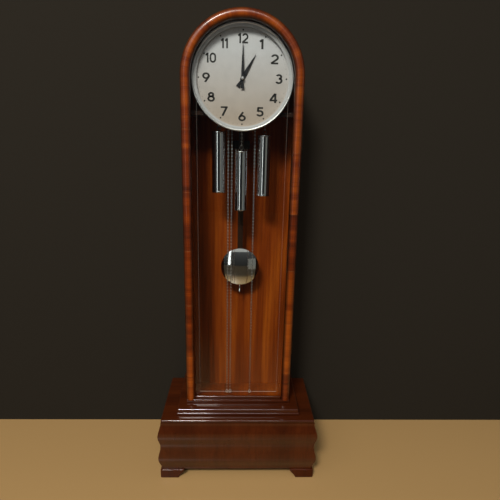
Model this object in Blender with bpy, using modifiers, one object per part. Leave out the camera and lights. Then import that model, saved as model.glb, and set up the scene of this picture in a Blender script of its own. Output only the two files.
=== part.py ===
"""An arched art deco floor clock with three chain-hung weights and a disc pendulum.

The clock faces -Y and stands on z = 0, with the middle of its base at the origin. Lengths are in metres.
"""

import math

import bmesh
import bpy
from mathutils import Matrix

# Clearances, how deep joined bodies reach into each other, and the scale that small outlines are drawn at
GAP = 0.0003
EMBED = 0.002
CUT_PAST = 0.010
WELD = 0.00001
DRAWING_SCALE = 1000.0

# Base, measured at its top edge; its front and sides swell out twice below it
FOOT_HEIGHT = 0.038
FOOT_REACH = 0.070
FOOT_FLARE = 0.022
FOOT_WALL = 0.022
FOOT_OUTSET = 0.006
BASE_TOP_Z = 0.254
BASE_HALF_WIDTH = 0.289
BASE_FRONT_Y = -0.140
BASE_BACK_Y = 0.151
BASE_WALL = 0.018
BASE_BOARD = 0.012
BASE_EDGE_ROUNDING = 0.004
SWELL = 0.0095
WAIST = 0.0030

# Plinth between base and case
PLINTH_HEIGHT = 0.026
PLINTH_STEP = 0.012
PLINTH_HALF_WIDTH = 0.2315
PLINTH_FRONT_Y = -0.109
PLINTH_BEAD = 0.003
PLINTH_BEAD_ROUNDING = 0.005
PLINTH_EDGE_ROUNDING = 0.006
PLINTH_BACK_STEP = 0.001

# Case
ARCH_Z = 1.462
CASE_HALF_WIDTH = 0.199
CASE_WALL = 0.012
CASE_FRONT_Y = -0.0455
CASE_BACK_Y = 0.151
BACK_BOARD_FRONT_Y = 0.139
BACK_BOARD_THICKNESS = 0.010
SEAT_Z = 1.360
SEAT_THICKNESS = 0.014
SEAT_FRONT_Y = -0.008
SEAT_BACK_Y = 0.078
SLOT_HALF_DEPTH = 0.007
SLOT_MARGIN = 0.008

# Door
DOOR_BACK_Y = -0.0477
DOOR_LOW_Z = 0.2815
STILE_LOW_Z = 0.2935
RAIL_TOP_Z = 0.3063
MOULDING_WIDTH = 0.033
MOULDING_SHOULDER_Y = -0.0585
MOULDING_CROWN = 0.0155
REBATE = 0.008
REBATE_Y = -0.0560
RAIL_FRONT_Y = -0.069
RAIL_LIP_Y = -0.064
RAIL_LIP_LOW_Z = 0.2855
GLASS_FRONT_Y = -0.0557
GLASS_THICKNESS = 0.004
GLASS_BEVEL = 0.0265
GLASS_BEVEL_DROP = 0.0018
GLASS_LOW_Z = 0.2968

# Door hinges, on the right-hand side
HINGE_X = 0.2015
HINGE_Y = -0.04665
HINGE_LOW_Z = (0.480, 1.240)
KNUCKLE_LENGTH = 0.028
KNUCKLE_RADIUS = 0.0022
PIN_RADIUS = 0.0010
LEAF_WIDTH = 0.0148
LEAF_EDGE_X = 0.1988
TAB_REACH = 0.0011
TAB_INSET = 0.001
CASE_LEAF_Y = (-0.0465, -0.0458)
DOOR_LEAF_Y = (-0.0474, -0.0468)

# Dial and hands, at one o'clock
DIAL_RADIUS = 0.160
DIAL_FRONT_Y = -0.0200
DIAL_BACK_Y = -0.0185
DIAL_FEET = ((-0.070, 0.058), (0.070, 0.058), (0.030, -0.082))
DIAL_FOOT_RADIUS = 0.003
DIAL_FOOT_EMBED = 0.0005
BEZEL_OUTER = 0.1655
BEZEL_INNER = 0.1500
BEZEL_CREST_Y = -0.0375
BEZEL_SLOPE = 0.0075
BEZEL_RIM = 0.0032
BEZEL_SEAT_SLACK = 0.0005
BEZEL_SKIRT = 0.002
HOUR_HAND_Y = (-0.0245, -0.0235)
MINUTE_HAND_Y = (-0.0285, -0.0275)
NUT_Y = (-0.0335, -0.0288)
NUT_RADIUS = 0.0055
NUT_FACE_RADIUS = 0.0036
NUT_CHAMFER = 0.002
HOUR_HAND_ANGLE = math.radians(30)

# Hands as distance along the hand and half width, from tail to point
HOUR_HAND = (
    (-0.030, 0.0072), (-0.011, 0.0030), (-0.0055, 0.0056), (0.0, 0.0070), (0.0055, 0.0062),
    (0.012, 0.0056), (0.020, 0.0060), (0.082, 0.0006),
)
MINUTE_HAND = (
    (-0.031, 0.0060), (-0.011, 0.0026), (-0.0045, 0.0044), (0.0, 0.0054), (0.0045, 0.0048),
    (0.010, 0.0044), (0.020, 0.0047), (0.1045, 0.0006),
)

# Movement plates
PLATE_HALF_WIDTH = 0.098
PLATE_LOW_Z = SEAT_Z + GAP
PLATE_HIGH_Z = 1.556
FRONT_PLATE_Y = (-0.004, -0.001)
BACK_PLATE_Y = (0.060, 0.063)
PILLARS = ((-0.088, 1.375), (0.088, 1.375), (-0.088, 1.545), (0.088, 1.545))
PILLAR_RADIUS = 0.005
PIVOT_SLACK = 0.0004

# Wheel work: teeth and modules, then how far a tooth stands above and below the pitch line, in modules
CANNON_TEETH, MINUTE_TEETH, MINUTE_MODULE = 8, 24, 0.0015
MINUTE_PINION_TEETH, HOUR_TEETH, HOUR_MODULE = 8, 32, 0.0012
PINION_LEAVES, CENTRE_LEAVES = 6, 8
GREAT_TEETH, INTERMEDIATE_TEETH, CENTRE_TEETH, THIRD_TEETH = 42, 32, 48, 45
GREAT_MODULE = 0.00120
INTERMEDIATE_MODULE = 0.00135
FAST_MODULE = 0.00100
ESCAPE_TEETH, ESCAPE_MODULE = 35, 0.00103
SIDE_TEETH, SIDE_MODULE = 20, 0.0026
TOOTH_RISE, TOOTH_FALL, TOOTH_HALF_SHARE = 0.85, 1.20, 0.30
ARBOR_RADIUS = 0.0015
CENTRE_ARBOR_RADIUS = 0.0022
CHAIN_ARBOR_RADIUS = 0.0025
HOUR_PIPE = (0.0030, 0.0048)
PALLET_DISTANCE = 0.0255

# Depths y of the wheels, pinions and arbors, from the dial backwards
HOUR_PIPE_Y = (-0.0249, -0.0108)
MINUTE_STUD_Y = (-0.0143, -0.0015)
MINUTE_PINION_Y = (-0.0131, -0.0080)
HOUR_WHEEL_Y = (-0.0128, -0.0103)
MOTION_WHEEL_Y = (-0.0085, -0.0055)
CENTRE_ARBOR_Y = (-0.0352, 0.0615)
ARBOR_Y = (-0.0025, 0.0615)
INTERMEDIATE_PINION_Y = (0.0040, 0.0092)
GREAT_WHEEL_Y = (0.0055, 0.0080)
CENTRE_PINION_Y = (0.0100, 0.0150)
INTERMEDIATE_WHEEL_Y = (0.0115, 0.0135)
THIRD_PINION_Y = (0.0160, 0.0205)
CENTRE_WHEEL_Y = (0.0170, 0.0195)
ESCAPE_PINION_Y = (0.0255, 0.0305)
THIRD_WHEEL_Y = (0.0270, 0.0290)
SIDE_WHEEL_Y = (0.0440, 0.0465)
ESCAPE_WHEEL_Y = (0.0504, 0.0516)

# Anchor, as the right half of its outline about its arbor, and the crutch that hangs from the same arbor
ANCHOR_ARBOR_Y = (0.0005, 0.0715)
ANCHOR_Y = (0.0485, 0.0535)
ANCHOR_HALF = (
    (0.000, 0.0050), (0.011, 0.0025), (0.021, -0.0085), (0.0205, -0.0115), (0.0166, -0.0128),
    (0.0160, -0.0100), (0.0100, -0.0050), (0.000, -0.0045),
)
CRUTCH_Y = (0.0680, 0.0710)
CRUTCH_HALF_WIDTH = 0.0025
CRUTCH_TOP = 0.0022
CRUTCH_DROP = 0.064
FORK_Y = (0.0690, 0.0920)
FORK_HEIGHT = 0.004
FORK_INSET = 0.0005
FORK_SLACK = 0.0015
FORK_WALL = 0.003

# Chains and weights
CHAIN_Y = 0.025
CHAIN_RADIUS = 0.0015
SPROCKET_PITCH_RADIUS = 0.0165
SPROCKET_Z = 1.4212
SPROCKET_FLANGE = 0.001
SPROCKET_HALF_DRUM = 0.004
SPROCKET_HALF_WIDTH = 0.0055
WEIGHT_RADIUS = 0.0238
WEIGHT_LENGTH = 0.2085
WEIGHT_CAP = 0.006
WEIGHT_CAP_LEDGE = 0.0006
WEIGHT_CAP_SLOPE = 0.0004
WEIGHT_EDGE = 0.0015
NECK_RADIUS = 0.0024
NECK_HEIGHT = 0.0045
HOOK_LIFT = 0.0035
HOOK_RADIUS = 0.006
HOOK_WIRE = 0.0014
END_RING_RADIUS = 0.0042
END_RING_Z = 0.2930
TRAINS = {
    "left": {"weight_x": -0.0785, "side": -1, "top_z": 1.2960},
    "centre": {"weight_x": 0.0, "side": 1, "top_z": 1.2330},
    "right": {"weight_x": 0.0785, "side": 1, "top_z": 1.2860},
}

# Pendulum
PENDULUM_Y = 0.0875
SUSPENSION_Z = 1.5335
STICK_HALF_WIDTH = 0.010
STICK_THICKNESS = 0.008
STICK_TOP_Z = 1.4997
STICK_LOW_Z = 0.744
BOB_Z = 0.803
BOB_RADIUS = 0.071
BOB_EDGE = 0.004
BOB_CROWN = 0.0135
BOB_RINGS = 7
SCREW_LOW_Z = 0.699
SCREW_RADIUS = 0.002
RATING_NUT_Z = (0.7175, 0.7245)
RATING_NUT_RADIUS = 0.0052
SPRING_HALF_THICKNESS = 0.0003
SPRING_HALF_WIDTH = 0.0035
COCK_HALF_WIDTH = 0.012
COCK_BACK_Y = 0.0925
COCK_Z = (SUSPENSION_Z + 0.003, SUSPENSION_Z + 0.015)

# Chime rods
GONG_LOW_Z = 1.2375
GONG_HEIGHT = 0.028
GONG_HALF_WIDTH = 0.030
GONG_FRONT_Y = 0.105
ROD_Y = 0.115
ROD_RADIUS = 0.0016
ROD_SPACING = 0.00975
ROD_LENGTHS = (0.1555, 0.2015, 0.2215, 0.1835, 0.1635)
ROD_EMBED = 0.005

FACING_FRONT = (math.pi / 2, 0, 0)
ALONG_X = (math.pi / 2, 0, math.pi / 2)

for old in list(bpy.data.objects):
    bpy.data.objects.remove(old, do_unlink=True)

clock = bpy.data.collections.new("art_deco_pendulum_clock")
shaping = bpy.data.collections.new("shaping_bodies")
for collection in (clock, shaping):
    bpy.context.scene.collection.children.link(collection)


def make_finish(name, colour, roughness, metallic=0.0, transmission=0.0):
    """A plain surface finish."""
    material = bpy.data.materials.new(name)
    material.use_nodes = True
    shader = material.node_tree.nodes["Principled BSDF"]
    shader.inputs["Base Color"].default_value = (*colour, 1.0)
    shader.inputs["Roughness"].default_value = roughness
    shader.inputs["Metallic"].default_value = metallic
    shader.inputs["Transmission Weight"].default_value = transmission
    return material


MAHOGANY = make_finish("dark_mahogany", (0.075, 0.022, 0.010), 0.18)
BANDING = make_finish("banded_veneer", (0.300, 0.095, 0.025), 0.22)
BOARD = make_finish("back_veneer", (0.330, 0.125, 0.040), 0.45)
GLASS = make_finish("glass", (0.950, 0.970, 0.960), 0.02, transmission=1.0)
CHROME = make_finish("chrome", (0.800, 0.800, 0.810), 0.08, 1.0)
SILVERED = make_finish("silvered_dial", (0.720, 0.720, 0.700), 0.45, 0.3)
GUNMETAL = make_finish("gunmetal", (0.030, 0.030, 0.035), 0.35, 0.8)
BRASS = make_finish("brass", (0.680, 0.470, 0.180), 0.30, 1.0)
STEEL = make_finish("steel", (0.520, 0.520, 0.530), 0.30, 1.0)
IRON = make_finish("cast_iron", (0.045, 0.045, 0.048), 0.60, 0.6)
STICK = make_finish("dark_stick", (0.060, 0.025, 0.014), 0.35)


def mesh_of(bm):
    """The finished mesh of an edit mesh."""
    mesh = bpy.data.meshes.new("shape")
    bm.to_mesh(mesh)
    bm.free()
    return mesh


def block_mesh(low, high):
    """A rectangular block between two corners."""
    size = [b - a for a, b in zip(low, high)]
    middle = [(a + b) / 2 for a, b in zip(low, high)]
    bm = bmesh.new()
    bmesh.ops.create_cube(bm, size=1.0, matrix=Matrix.Translation(middle) @ Matrix.Diagonal((*size, 1.0)))
    return mesh_of(bm)


def rod_mesh(radius, low, high, centre=(0.0, 0.0), sides=16):
    """A round rod along Z between two heights."""
    bm = bmesh.new()
    place = Matrix.Translation((*centre, (low + high) / 2))
    bmesh.ops.create_cone(
        bm, cap_ends=True, segments=sides, radius1=radius, radius2=radius, depth=high - low, matrix=place
    )
    return mesh_of(bm)


def mesh_from_curve(curve):
    """A curve drawn at the drawing scale made a mesh at full size, with its caps welded to its sides."""
    drawn = bpy.data.objects.new("drawn", curve)
    shaping.objects.link(drawn)
    bpy.context.view_layer.update()
    seen = drawn.evaluated_get(bpy.context.evaluated_depsgraph_get())
    mesh = bpy.data.meshes.new_from_object(seen)
    bpy.data.objects.remove(drawn)
    bm = bmesh.new()
    bm.from_mesh(mesh)
    bmesh.ops.remove_doubles(bm, verts=bm.verts, dist=WELD * DRAWING_SCALE)
    bmesh.ops.recalc_face_normals(bm, faces=bm.faces)
    bm.to_mesh(mesh)
    bm.free()
    mesh.transform(Matrix.Scale(1 / DRAWING_SCALE, 4))
    return mesh


def outline_mesh(loops, low, high):
    """A flat outline, with any holes in it, thickened along Z between two heights."""
    curve = bpy.data.curves.new("outline", "CURVE")
    curve.dimensions = "2D"
    curve.fill_mode = "BOTH"
    curve.extrude = DRAWING_SCALE * (high - low) / 2
    for loop in loops:
        spline = curve.splines.new("POLY")
        spline.points.add(len(loop) - 1)
        for point, (x, y) in zip(spline.points, loop):
            point.co = (DRAWING_SCALE * x, DRAWING_SCALE * y, 0, 1)
        spline.use_cyclic_u = True
    mesh = mesh_from_curve(curve)
    mesh.transform(Matrix.Translation((0, 0, (low + high) / 2)))
    return mesh


def wire_mesh(points, radius):
    """A round wire through points."""
    curve = bpy.data.curves.new("wire", "CURVE")
    curve.dimensions = "3D"
    curve.bevel_depth = DRAWING_SCALE * radius
    curve.bevel_resolution = 1
    curve.use_fill_caps = True
    spline = curve.splines.new("POLY")
    spline.points.add(len(points) - 1)
    for point, place in zip(spline.points, points):
        point.co = (*[DRAWING_SCALE * value for value in place], 1)
    return mesh_from_curve(curve)


def ring_mesh(radius, wire, height):
    """A wire ring standing in the XZ plane at a height."""
    bpy.ops.mesh.primitive_torus_add(
        major_segments=12, minor_segments=5, major_radius=radius, minor_radius=wire
    )
    ring = bpy.context.object
    mesh = ring.data
    bpy.data.objects.remove(ring)
    mesh.transform(Matrix.Translation((0, 0, height)) @ Matrix.Rotation(math.pi / 2, 4, "X"))
    return mesh


def add_part(name, mesh, finish, location=(0, 0, 0), rotation=(0, 0, 0), smooth=False):
    """A named piece of the clock."""
    part = bpy.data.objects.new(name, mesh)
    part.location = location
    part.rotation_euler = rotation
    mesh.materials.clear()
    mesh.materials.append(finish)
    if smooth:
        mesh.shade_smooth()
        mesh.set_sharp_from_angle(angle=math.radians(35))
    clock.objects.link(part)
    return part


def turned(name, profile, finish, location=(0, 0, 0), rotation=(0, 0, 0), steps=32, ring=False):
    """A piece turned about its Z axis, from (radius, height) points down its outer side."""
    count = len(profile)
    edges = [(i, i + 1) for i in range(count - 1)]
    if ring:
        edges.append((count - 1, 0))
    mesh = bpy.data.meshes.new(name)
    mesh.from_pydata([(radius, 0, height) for radius, height in profile], edges, [])
    part = add_part(name, mesh, finish, location, rotation)
    screw = part.modifiers.new("turning", "SCREW")
    screw.steps = steps
    screw.render_steps = steps
    screw.use_merge_vertices = True
    screw.merge_threshold = WELD
    return part


def combine(part, mesh, operation, location=None, rotation=None):
    """Join a body to a piece, or cut it out of the piece; it stands where the piece stands unless placed."""
    body = bpy.data.objects.new(f"{part.name}_{operation.lower()}", mesh)
    body.location = part.location if location is None else location
    body.rotation_euler = part.rotation_euler if rotation is None else rotation
    body.hide_render = True
    body.display_type = "WIRE"
    shaping.objects.link(body)
    boolean = part.modifiers.new(operation.lower(), "BOOLEAN")
    boolean.operation = operation
    boolean.object = body
    boolean.solver = "EXACT"


def round_edges(part, width, segments=3):
    """Rounded edges all round a piece."""
    bevel = part.modifiers.new("rounding", "BEVEL")
    bevel.width = width
    bevel.segments = segments
    bevel.limit_method = "ANGLE"


def hang_on_axis(name, location, parts):
    """An empty on a joint's axis that carries the pieces which turn about it."""
    axis = bpy.data.objects.new(name, None)
    axis.location = location
    clock.objects.link(axis)
    for part in parts:
        part.parent = axis
        part.matrix_parent_inverse = Matrix.Translation(location).inverted()


def arc(radius, start, end, steps, centre=(0.0, 0.0)):
    """Points on an arc, both ends included."""
    turns = [start + (end - start) * i / steps for i in range(steps + 1)]
    return [(centre[0] + radius * math.cos(t), centre[1] + radius * math.sin(t)) for t in turns]


def circle(radius, centre=(0.0, 0.0), steps=16):
    """Points round a circle."""
    return arc(radius, 0, 2 * math.pi, steps, centre)[:-1]


def arched_outline(half_width, low_z, steps=32):
    """An upright board with a round top, as x and z."""
    return [(-half_width, low_z), (half_width, low_z)] + arc(half_width, 0, math.pi, steps, (0, ARCH_Z))


# Base

PANEL_LOW_Z = FOOT_HEIGHT
PANEL_HIGH_Z = BASE_TOP_Z - BASE_BOARD - GAP
SWELL_REACH = 2 * SWELL
SWELL_POINTS = 20


def swell_at(height):
    """How far the base stands out from its top edge at a height."""
    share = (height - PANEL_LOW_Z) / (PANEL_HIGH_Z - PANEL_LOW_Z)
    return SWELL * math.sin(2 * math.pi * share) ** 2 + WAIST * math.sin(math.pi * share) ** 2


def panel_section(edge, outwards):
    """Section of a swelled panel whose top edge is at a place and whose front faces outwards."""
    step = (PANEL_HIGH_Z - PANEL_LOW_Z) / SWELL_POINTS
    heights = [PANEL_LOW_Z + step * i for i in range(SWELL_POINTS + 1)]
    face = [(edge + outwards * swell_at(z), z) for z in heights]
    inner = edge - outwards * BASE_WALL
    return face + [(inner, PANEL_HIGH_Z), (inner, PANEL_LOW_Z)]


def cut_mitre(part, side, turn):
    """Cut the front corner of a base panel along the mitre, keeping half the clearance."""
    reach = 5 * SWELL_REACH
    body = block_mesh((-GAP / 2, -reach, -reach), (reach, reach, BASE_TOP_Z + reach))
    angle = math.atan2(1, side) + turn
    combine(part, body, "DIFFERENCE", (side * BASE_HALF_WIDTH, BASE_FRONT_Y, 0), (0, 0, angle))


def make_base():
    length = BASE_HALF_WIDTH + SWELL_REACH
    front = add_part(
        "base_front", outline_mesh([panel_section(BASE_FRONT_Y, -1)], -length, length), MAHOGANY,
        rotation=ALONG_X, smooth=True,
    )
    for side, word in ((-1, "left"), (1, "right")):
        cut_mitre(front, side, 0)
        section = panel_section(side * BASE_HALF_WIDTH, side)
        panel = add_part(
            f"base_side_{word}", outline_mesh([section], -BASE_BACK_Y, SWELL_REACH - BASE_FRONT_Y), MAHOGANY,
            rotation=FACING_FRONT, smooth=True,
        )
        cut_mitre(panel, side, math.pi)
    inner = BASE_HALF_WIDTH - BASE_WALL - GAP
    back = block_mesh((-inner, BASE_BACK_Y - BASE_WALL, PANEL_LOW_Z), (inner, BASE_BACK_Y, PANEL_HIGH_Z))
    add_part("base_back", back, MAHOGANY)
    low = (-BASE_HALF_WIDTH, BASE_FRONT_Y, BASE_TOP_Z - BASE_BOARD)
    high = (BASE_HALF_WIDTH, BASE_BACK_Y, BASE_TOP_Z)
    board = add_part("base_top_board", block_mesh(low, high), MAHOGANY, smooth=True)
    round_edges(board, BASE_EDGE_ROUNDING)


def bracket_outline():
    """Face of a bracket foot, from its corner along the base, with an ogee inner edge."""
    steps = 8
    top = FOOT_HEIGHT - GAP
    shares = [i / steps for i in range(steps + 1)]
    edge = [(FOOT_REACH + FOOT_FLARE * (1 - math.cos(math.pi * s)) / 2, top * s) for s in shares]
    return [(0, 0)] + edge + [(0, top)]


def make_feet():
    face = bracket_outline()
    for depth, y in (("front", BASE_FRONT_Y - FOOT_OUTSET), ("back", BASE_BACK_Y)):
        inwards = 1 if depth == "front" else -1
        for side, word in ((-1, "left"), (1, "right")):
            corner = (side * (BASE_HALF_WIDTH + FOOT_OUTSET), y, 0)
            along_front = [(-side * u, z) for u, z in face]
            thick = sorted((0, -inwards * FOOT_WALL))
            foot = add_part(
                f"foot_{depth}_{word}", outline_mesh([along_front], *thick), MAHOGANY, corner, FACING_FRONT
            )
            along_side = [(inwards * u, z) for u, z in face]
            thick = sorted((0, -side * FOOT_WALL))
            combine(foot, outline_mesh([along_side], *thick), "UNION", corner, ALONG_X)


def make_plinth():
    low = BASE_TOP_Z + GAP
    step = BASE_TOP_Z + PLINTH_STEP
    top = BASE_TOP_Z + PLINTH_HEIGHT
    bead = PLINTH_HALF_WIDTH + PLINTH_BEAD
    front = PLINTH_FRONT_Y - PLINTH_BEAD
    beaded = block_mesh((-bead, front, low), (bead, BASE_BACK_Y - PLINTH_BACK_STEP, step))
    plinth = add_part("upper_plinth", beaded, MAHOGANY, smooth=True)
    round_edges(plinth, PLINTH_BEAD_ROUNDING, 2)
    board = block_mesh(
        (-PLINTH_HALF_WIDTH, PLINTH_FRONT_Y, step - EMBED), (PLINTH_HALF_WIDTH, BASE_BACK_Y, top)
    )
    bm = bmesh.new()
    bm.from_mesh(board)
    bmesh.ops.bevel(
        bm, geom=bm.edges[:], offset=PLINTH_EDGE_ROUNDING, segments=3, profile=0.5, affect="EDGES"
    )
    bm.to_mesh(board)
    bm.free()
    combine(plinth, board, "UNION")


# Case

CASE_LOW_Z = BASE_TOP_Z + PLINTH_HEIGHT + GAP
CASE_INNER = CASE_HALF_WIDTH - CASE_WALL


def sprocket_x(train):
    """Where a train's chain wheel stands, between the two strands of its chain."""
    return train["weight_x"] - train["side"] * SPROCKET_PITCH_RADIUS


def free_x(train):
    """Where a train's free chain end hangs."""
    return train["weight_x"] - 2 * train["side"] * SPROCKET_PITCH_RADIUS


def make_case():
    for side, word in ((-1, "left"), (1, "right")):
        near, far = sorted((side * CASE_INNER, side * CASE_HALF_WIDTH))
        add_part(
            f"case_side_{word}",
            block_mesh((near, CASE_FRONT_Y, CASE_LOW_Z), (far, CASE_BACK_Y, ARCH_Z - GAP)), MAHOGANY,
        )
    bend = arc(CASE_HALF_WIDTH, 0, math.pi, 40) + arc(CASE_INNER, math.pi, 0, 40)
    arch = outline_mesh([bend], -CASE_BACK_Y, -CASE_FRONT_Y)
    add_part("case_arch", arch, MAHOGANY, (0, 0, ARCH_Z), FACING_FRONT, True)
    back = -BACK_BOARD_FRONT_Y - BACK_BOARD_THICKNESS
    add_part(
        "back_board",
        outline_mesh([arched_outline(CASE_INNER - GAP, CASE_LOW_Z)], back, -BACK_BOARD_FRONT_Y), BOARD,
        rotation=FACING_FRONT, smooth=True,
    )


def slot_loop(low_x, high_x):
    """A chain slot in the seat board."""
    near, far = CHAIN_Y - SLOT_HALF_DEPTH, CHAIN_Y + SLOT_HALF_DEPTH
    return [(low_x, near), (high_x, near), (high_x, far), (low_x, far)]


def make_seat_board():
    half = CASE_INNER - GAP
    edge = [(-half, SEAT_FRONT_Y), (half, SEAT_FRONT_Y), (half, SEAT_BACK_Y), (-half, SEAT_BACK_Y)]
    left = slot_loop(TRAINS["left"]["weight_x"] - SLOT_MARGIN, TRAINS["centre"]["weight_x"] + SLOT_MARGIN)
    right = slot_loop(free_x(TRAINS["right"]) - SLOT_MARGIN, TRAINS["right"]["weight_x"] + SLOT_MARGIN)
    add_part("seat_board", outline_mesh([edge, left, right], SEAT_Z - SEAT_THICKNESS, SEAT_Z), MAHOGANY)


# Door

MOULDING_INNER = CASE_HALF_WIDTH - MOULDING_WIDTH


def moulding_section():
    """Half-round door moulding with its glass rebate, as distance from the door's middle and depth y."""
    middle = (CASE_HALF_WIDTH + MOULDING_INNER) / 2
    half = MOULDING_WIDTH / 2
    crown = [
        (middle + x * half, MOULDING_SHOULDER_Y - y * MOULDING_CROWN) for x, y in arc(1, math.pi, 0, 12)
    ]
    back = [
        (CASE_HALF_WIDTH, DOOR_BACK_Y), (MOULDING_INNER + REBATE, DOOR_BACK_Y),
        (MOULDING_INNER + REBATE, REBATE_Y), (MOULDING_INNER, REBATE_Y),
    ]
    return crown + back


def glass_mesh():
    """Arched glass with a wide bevel round its front, facing up along Z."""
    bm = bmesh.new()
    half = MOULDING_INNER + REBATE - GAP
    face = bm.faces.new([bm.verts.new((x, z, 0)) for x, z in arched_outline(half, GLASS_LOW_Z)])
    raised = bmesh.ops.extrude_face_region(bm, geom=[face])["geom"]
    points = [item for item in raised if isinstance(item, bmesh.types.BMVert)]
    bmesh.ops.translate(bm, verts=points, vec=(0, 0, GLASS_THICKNESS - GLASS_BEVEL_DROP))
    front = [item for item in raised if isinstance(item, bmesh.types.BMFace)]
    bmesh.ops.recalc_face_normals(bm, faces=bm.faces)
    bmesh.ops.inset_region(
        bm, faces=front, thickness=GLASS_BEVEL, depth=GLASS_BEVEL_DROP, use_even_offset=True
    )
    return mesh_of(bm)


def make_door():
    section = moulding_section()
    parts = []
    for side, word in ((-1, "left"), (1, "right")):
        loop = [(side * reach, y) for reach, y in section]
        parts.append(
            add_part(f"door_stile_{word}", outline_mesh([loop], STILE_LOW_Z, ARCH_Z), BANDING, smooth=True)
        )
    profile = [(reach, -y) for reach, y in section]
    arch = turned("door_arch", profile, BANDING, (0, 0, ARCH_Z), FACING_FRONT, 56, True)
    reach = 2 * CASE_HALF_WIDTH
    combine(arch, block_mesh((-reach, -reach, -reach), (reach, reach, GAP)), "DIFFERENCE", rotation=(0, 0, 0))
    rail = add_part(
        "door_bottom_rail",
        block_mesh(
            (-CASE_HALF_WIDTH, RAIL_FRONT_Y, DOOR_LOW_Z), (CASE_HALF_WIDTH, DOOR_BACK_Y, STILE_LOW_Z - GAP)
        ), MAHOGANY,
    )
    lip = MOULDING_INNER - GAP
    raised = block_mesh((-lip, RAIL_LIP_Y, RAIL_LIP_LOW_Z), (lip, DOOR_BACK_Y - EMBED, RAIL_TOP_Z))
    combine(rail, raised, "UNION")
    low = (-CASE_HALF_WIDTH, REBATE_Y, GLASS_LOW_Z - GAP)
    high = (CASE_HALF_WIDTH, DOOR_BACK_Y + CUT_PAST, RAIL_TOP_Z + CUT_PAST)
    combine(rail, block_mesh(low, high), "DIFFERENCE")
    back = (0, GLASS_FRONT_Y + GLASS_THICKNESS, 0)
    glass = add_part("door_glass", glass_mesh(), GLASS, back, FACING_FRONT)
    return parts + [arch, rail, glass]


def make_hinges():
    """Two lift-off hinges: each case leaf carries the pin, each door leaf the bored knuckle above it."""
    door_leaves = []
    for low, word in zip(HINGE_LOW_Z, ("lower", "upper")):
        axis = (HINGE_X, HINGE_Y, low)
        leaf_x = (LEAF_EDGE_X - LEAF_WIDTH - HINGE_X, LEAF_EDGE_X - HINGE_X)
        tab_x = (leaf_x[1] - GAP, leaf_x[1] + TAB_REACH)
        height = 2 * KNUCKLE_LENGTH
        bore = PIN_RADIUS + GAP
        for kind, depth, bottom in (("case", CASE_LEAF_Y, 0), ("door", DOOR_LEAF_Y, KNUCKLE_LENGTH + GAP)):
            near, far = depth[0] - HINGE_Y, depth[1] - HINGE_Y
            top = bottom + KNUCKLE_LENGTH
            leaf = add_part(
                f"hinge_{word}_{kind}_leaf", rod_mesh(KNUCKLE_RADIUS, bottom, top), STEEL, axis, smooth=True
            )
            tab = block_mesh((tab_x[0], near, bottom + TAB_INSET), (tab_x[1], far, top - TAB_INSET))
            combine(leaf, tab, "UNION")
            combine(leaf, block_mesh((leaf_x[0], near, 0), (leaf_x[1], far, height)), "UNION")
            if kind == "case":
                combine(leaf, rod_mesh(PIN_RADIUS, top - EMBED, height - EMBED), "UNION")
            else:
                combine(leaf, rod_mesh(bore, bottom - CUT_PAST, top + CUT_PAST), "DIFFERENCE")
                door_leaves.append(leaf)
    return door_leaves


# Dial

def make_dial():
    centre = (0, 0, ARCH_Z)
    front, back = -DIAL_FRONT_Y, -DIAL_BACK_Y
    hole = HOUR_PIPE[1] + 2 * PIVOT_SLACK
    plate = turned(
        "dial_plate", [(hole, front), (DIAL_RADIUS, front), (DIAL_RADIUS, back), (hole, back)], SILVERED,
        centre, FACING_FRONT, 48, True,
    )
    for foot in DIAL_FEET:
        pin = rod_mesh(DIAL_FOOT_RADIUS, -FRONT_PLATE_Y[0] + GAP, back + DIAL_FOOT_EMBED, foot, 8)
        combine(plate, pin, "UNION")
    seat = DIAL_RADIUS + BEZEL_SEAT_SLACK
    crest = -BEZEL_CREST_Y
    low = back - BEZEL_SKIRT
    face = [
        (BEZEL_INNER, crest - BEZEL_SLOPE), (BEZEL_OUTER - BEZEL_RIM, crest), (BEZEL_OUTER, crest - BEZEL_RIM)
    ]
    skirt = [(BEZEL_OUTER, low), (seat, low), (seat, front + GAP), (BEZEL_INNER, front + GAP)]
    turned("bezel", face + skirt, CHROME, centre, FACING_FRONT, 48, True)


def hand_outline(stations):
    """A hand's outline from (distance, half width) pairs, from its tail to its point."""
    right = [(width, reach) for reach, width in stations]
    left = [(-width, reach) for reach, width in reversed(stations)]
    return right + left


def make_hands():
    centre = (0, 0, ARCH_Z)
    for name, stations, bore, depth, angle in (
        ("hour_hand", HOUR_HAND, HOUR_PIPE[1] + GAP, HOUR_HAND_Y, HOUR_HAND_ANGLE),
        ("minute_hand", MINUTE_HAND, CENTRE_ARBOR_RADIUS + GAP, MINUTE_HAND_Y, 0.0),
    ):
        mesh = outline_mesh([hand_outline(stations), circle(bore)], -depth[1], -depth[0])
        add_part(name, mesh, GUNMETAL, centre, (math.pi / 2, angle, 0))
    bore = CENTRE_ARBOR_RADIUS + GAP
    front, back = -NUT_Y[0], -NUT_Y[1]
    profile = [
        (bore, front), (NUT_FACE_RADIUS, front), (NUT_RADIUS, front - NUT_CHAMFER),
        (NUT_RADIUS, back), (bore, back),
    ]
    turned("hand_nut", profile, CHROME, centre, FACING_FRONT, 12, True)


# Movement

CENTRE = (0.0, ARCH_Z)


def meshing_point(start, distance, angle):
    """Where an arbor stands that is a distance from another, in a direction."""
    return (start[0] + distance * math.cos(angle), start[1] + distance * math.sin(angle))


def crossing_point(first, first_distance, second, second_distance, side):
    """Where an arbor stands that meshes with two others, on one side of the line between them."""
    dx, dz = second[0] - first[0], second[1] - first[1]
    span = math.hypot(dx, dz)
    along = (span ** 2 + first_distance ** 2 - second_distance ** 2) / (2 * span)
    off = side * math.sqrt(first_distance ** 2 - along ** 2)
    return (first[0] + (along * dx + off * dz) / span, first[1] + (along * dz - off * dx) / span)


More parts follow.
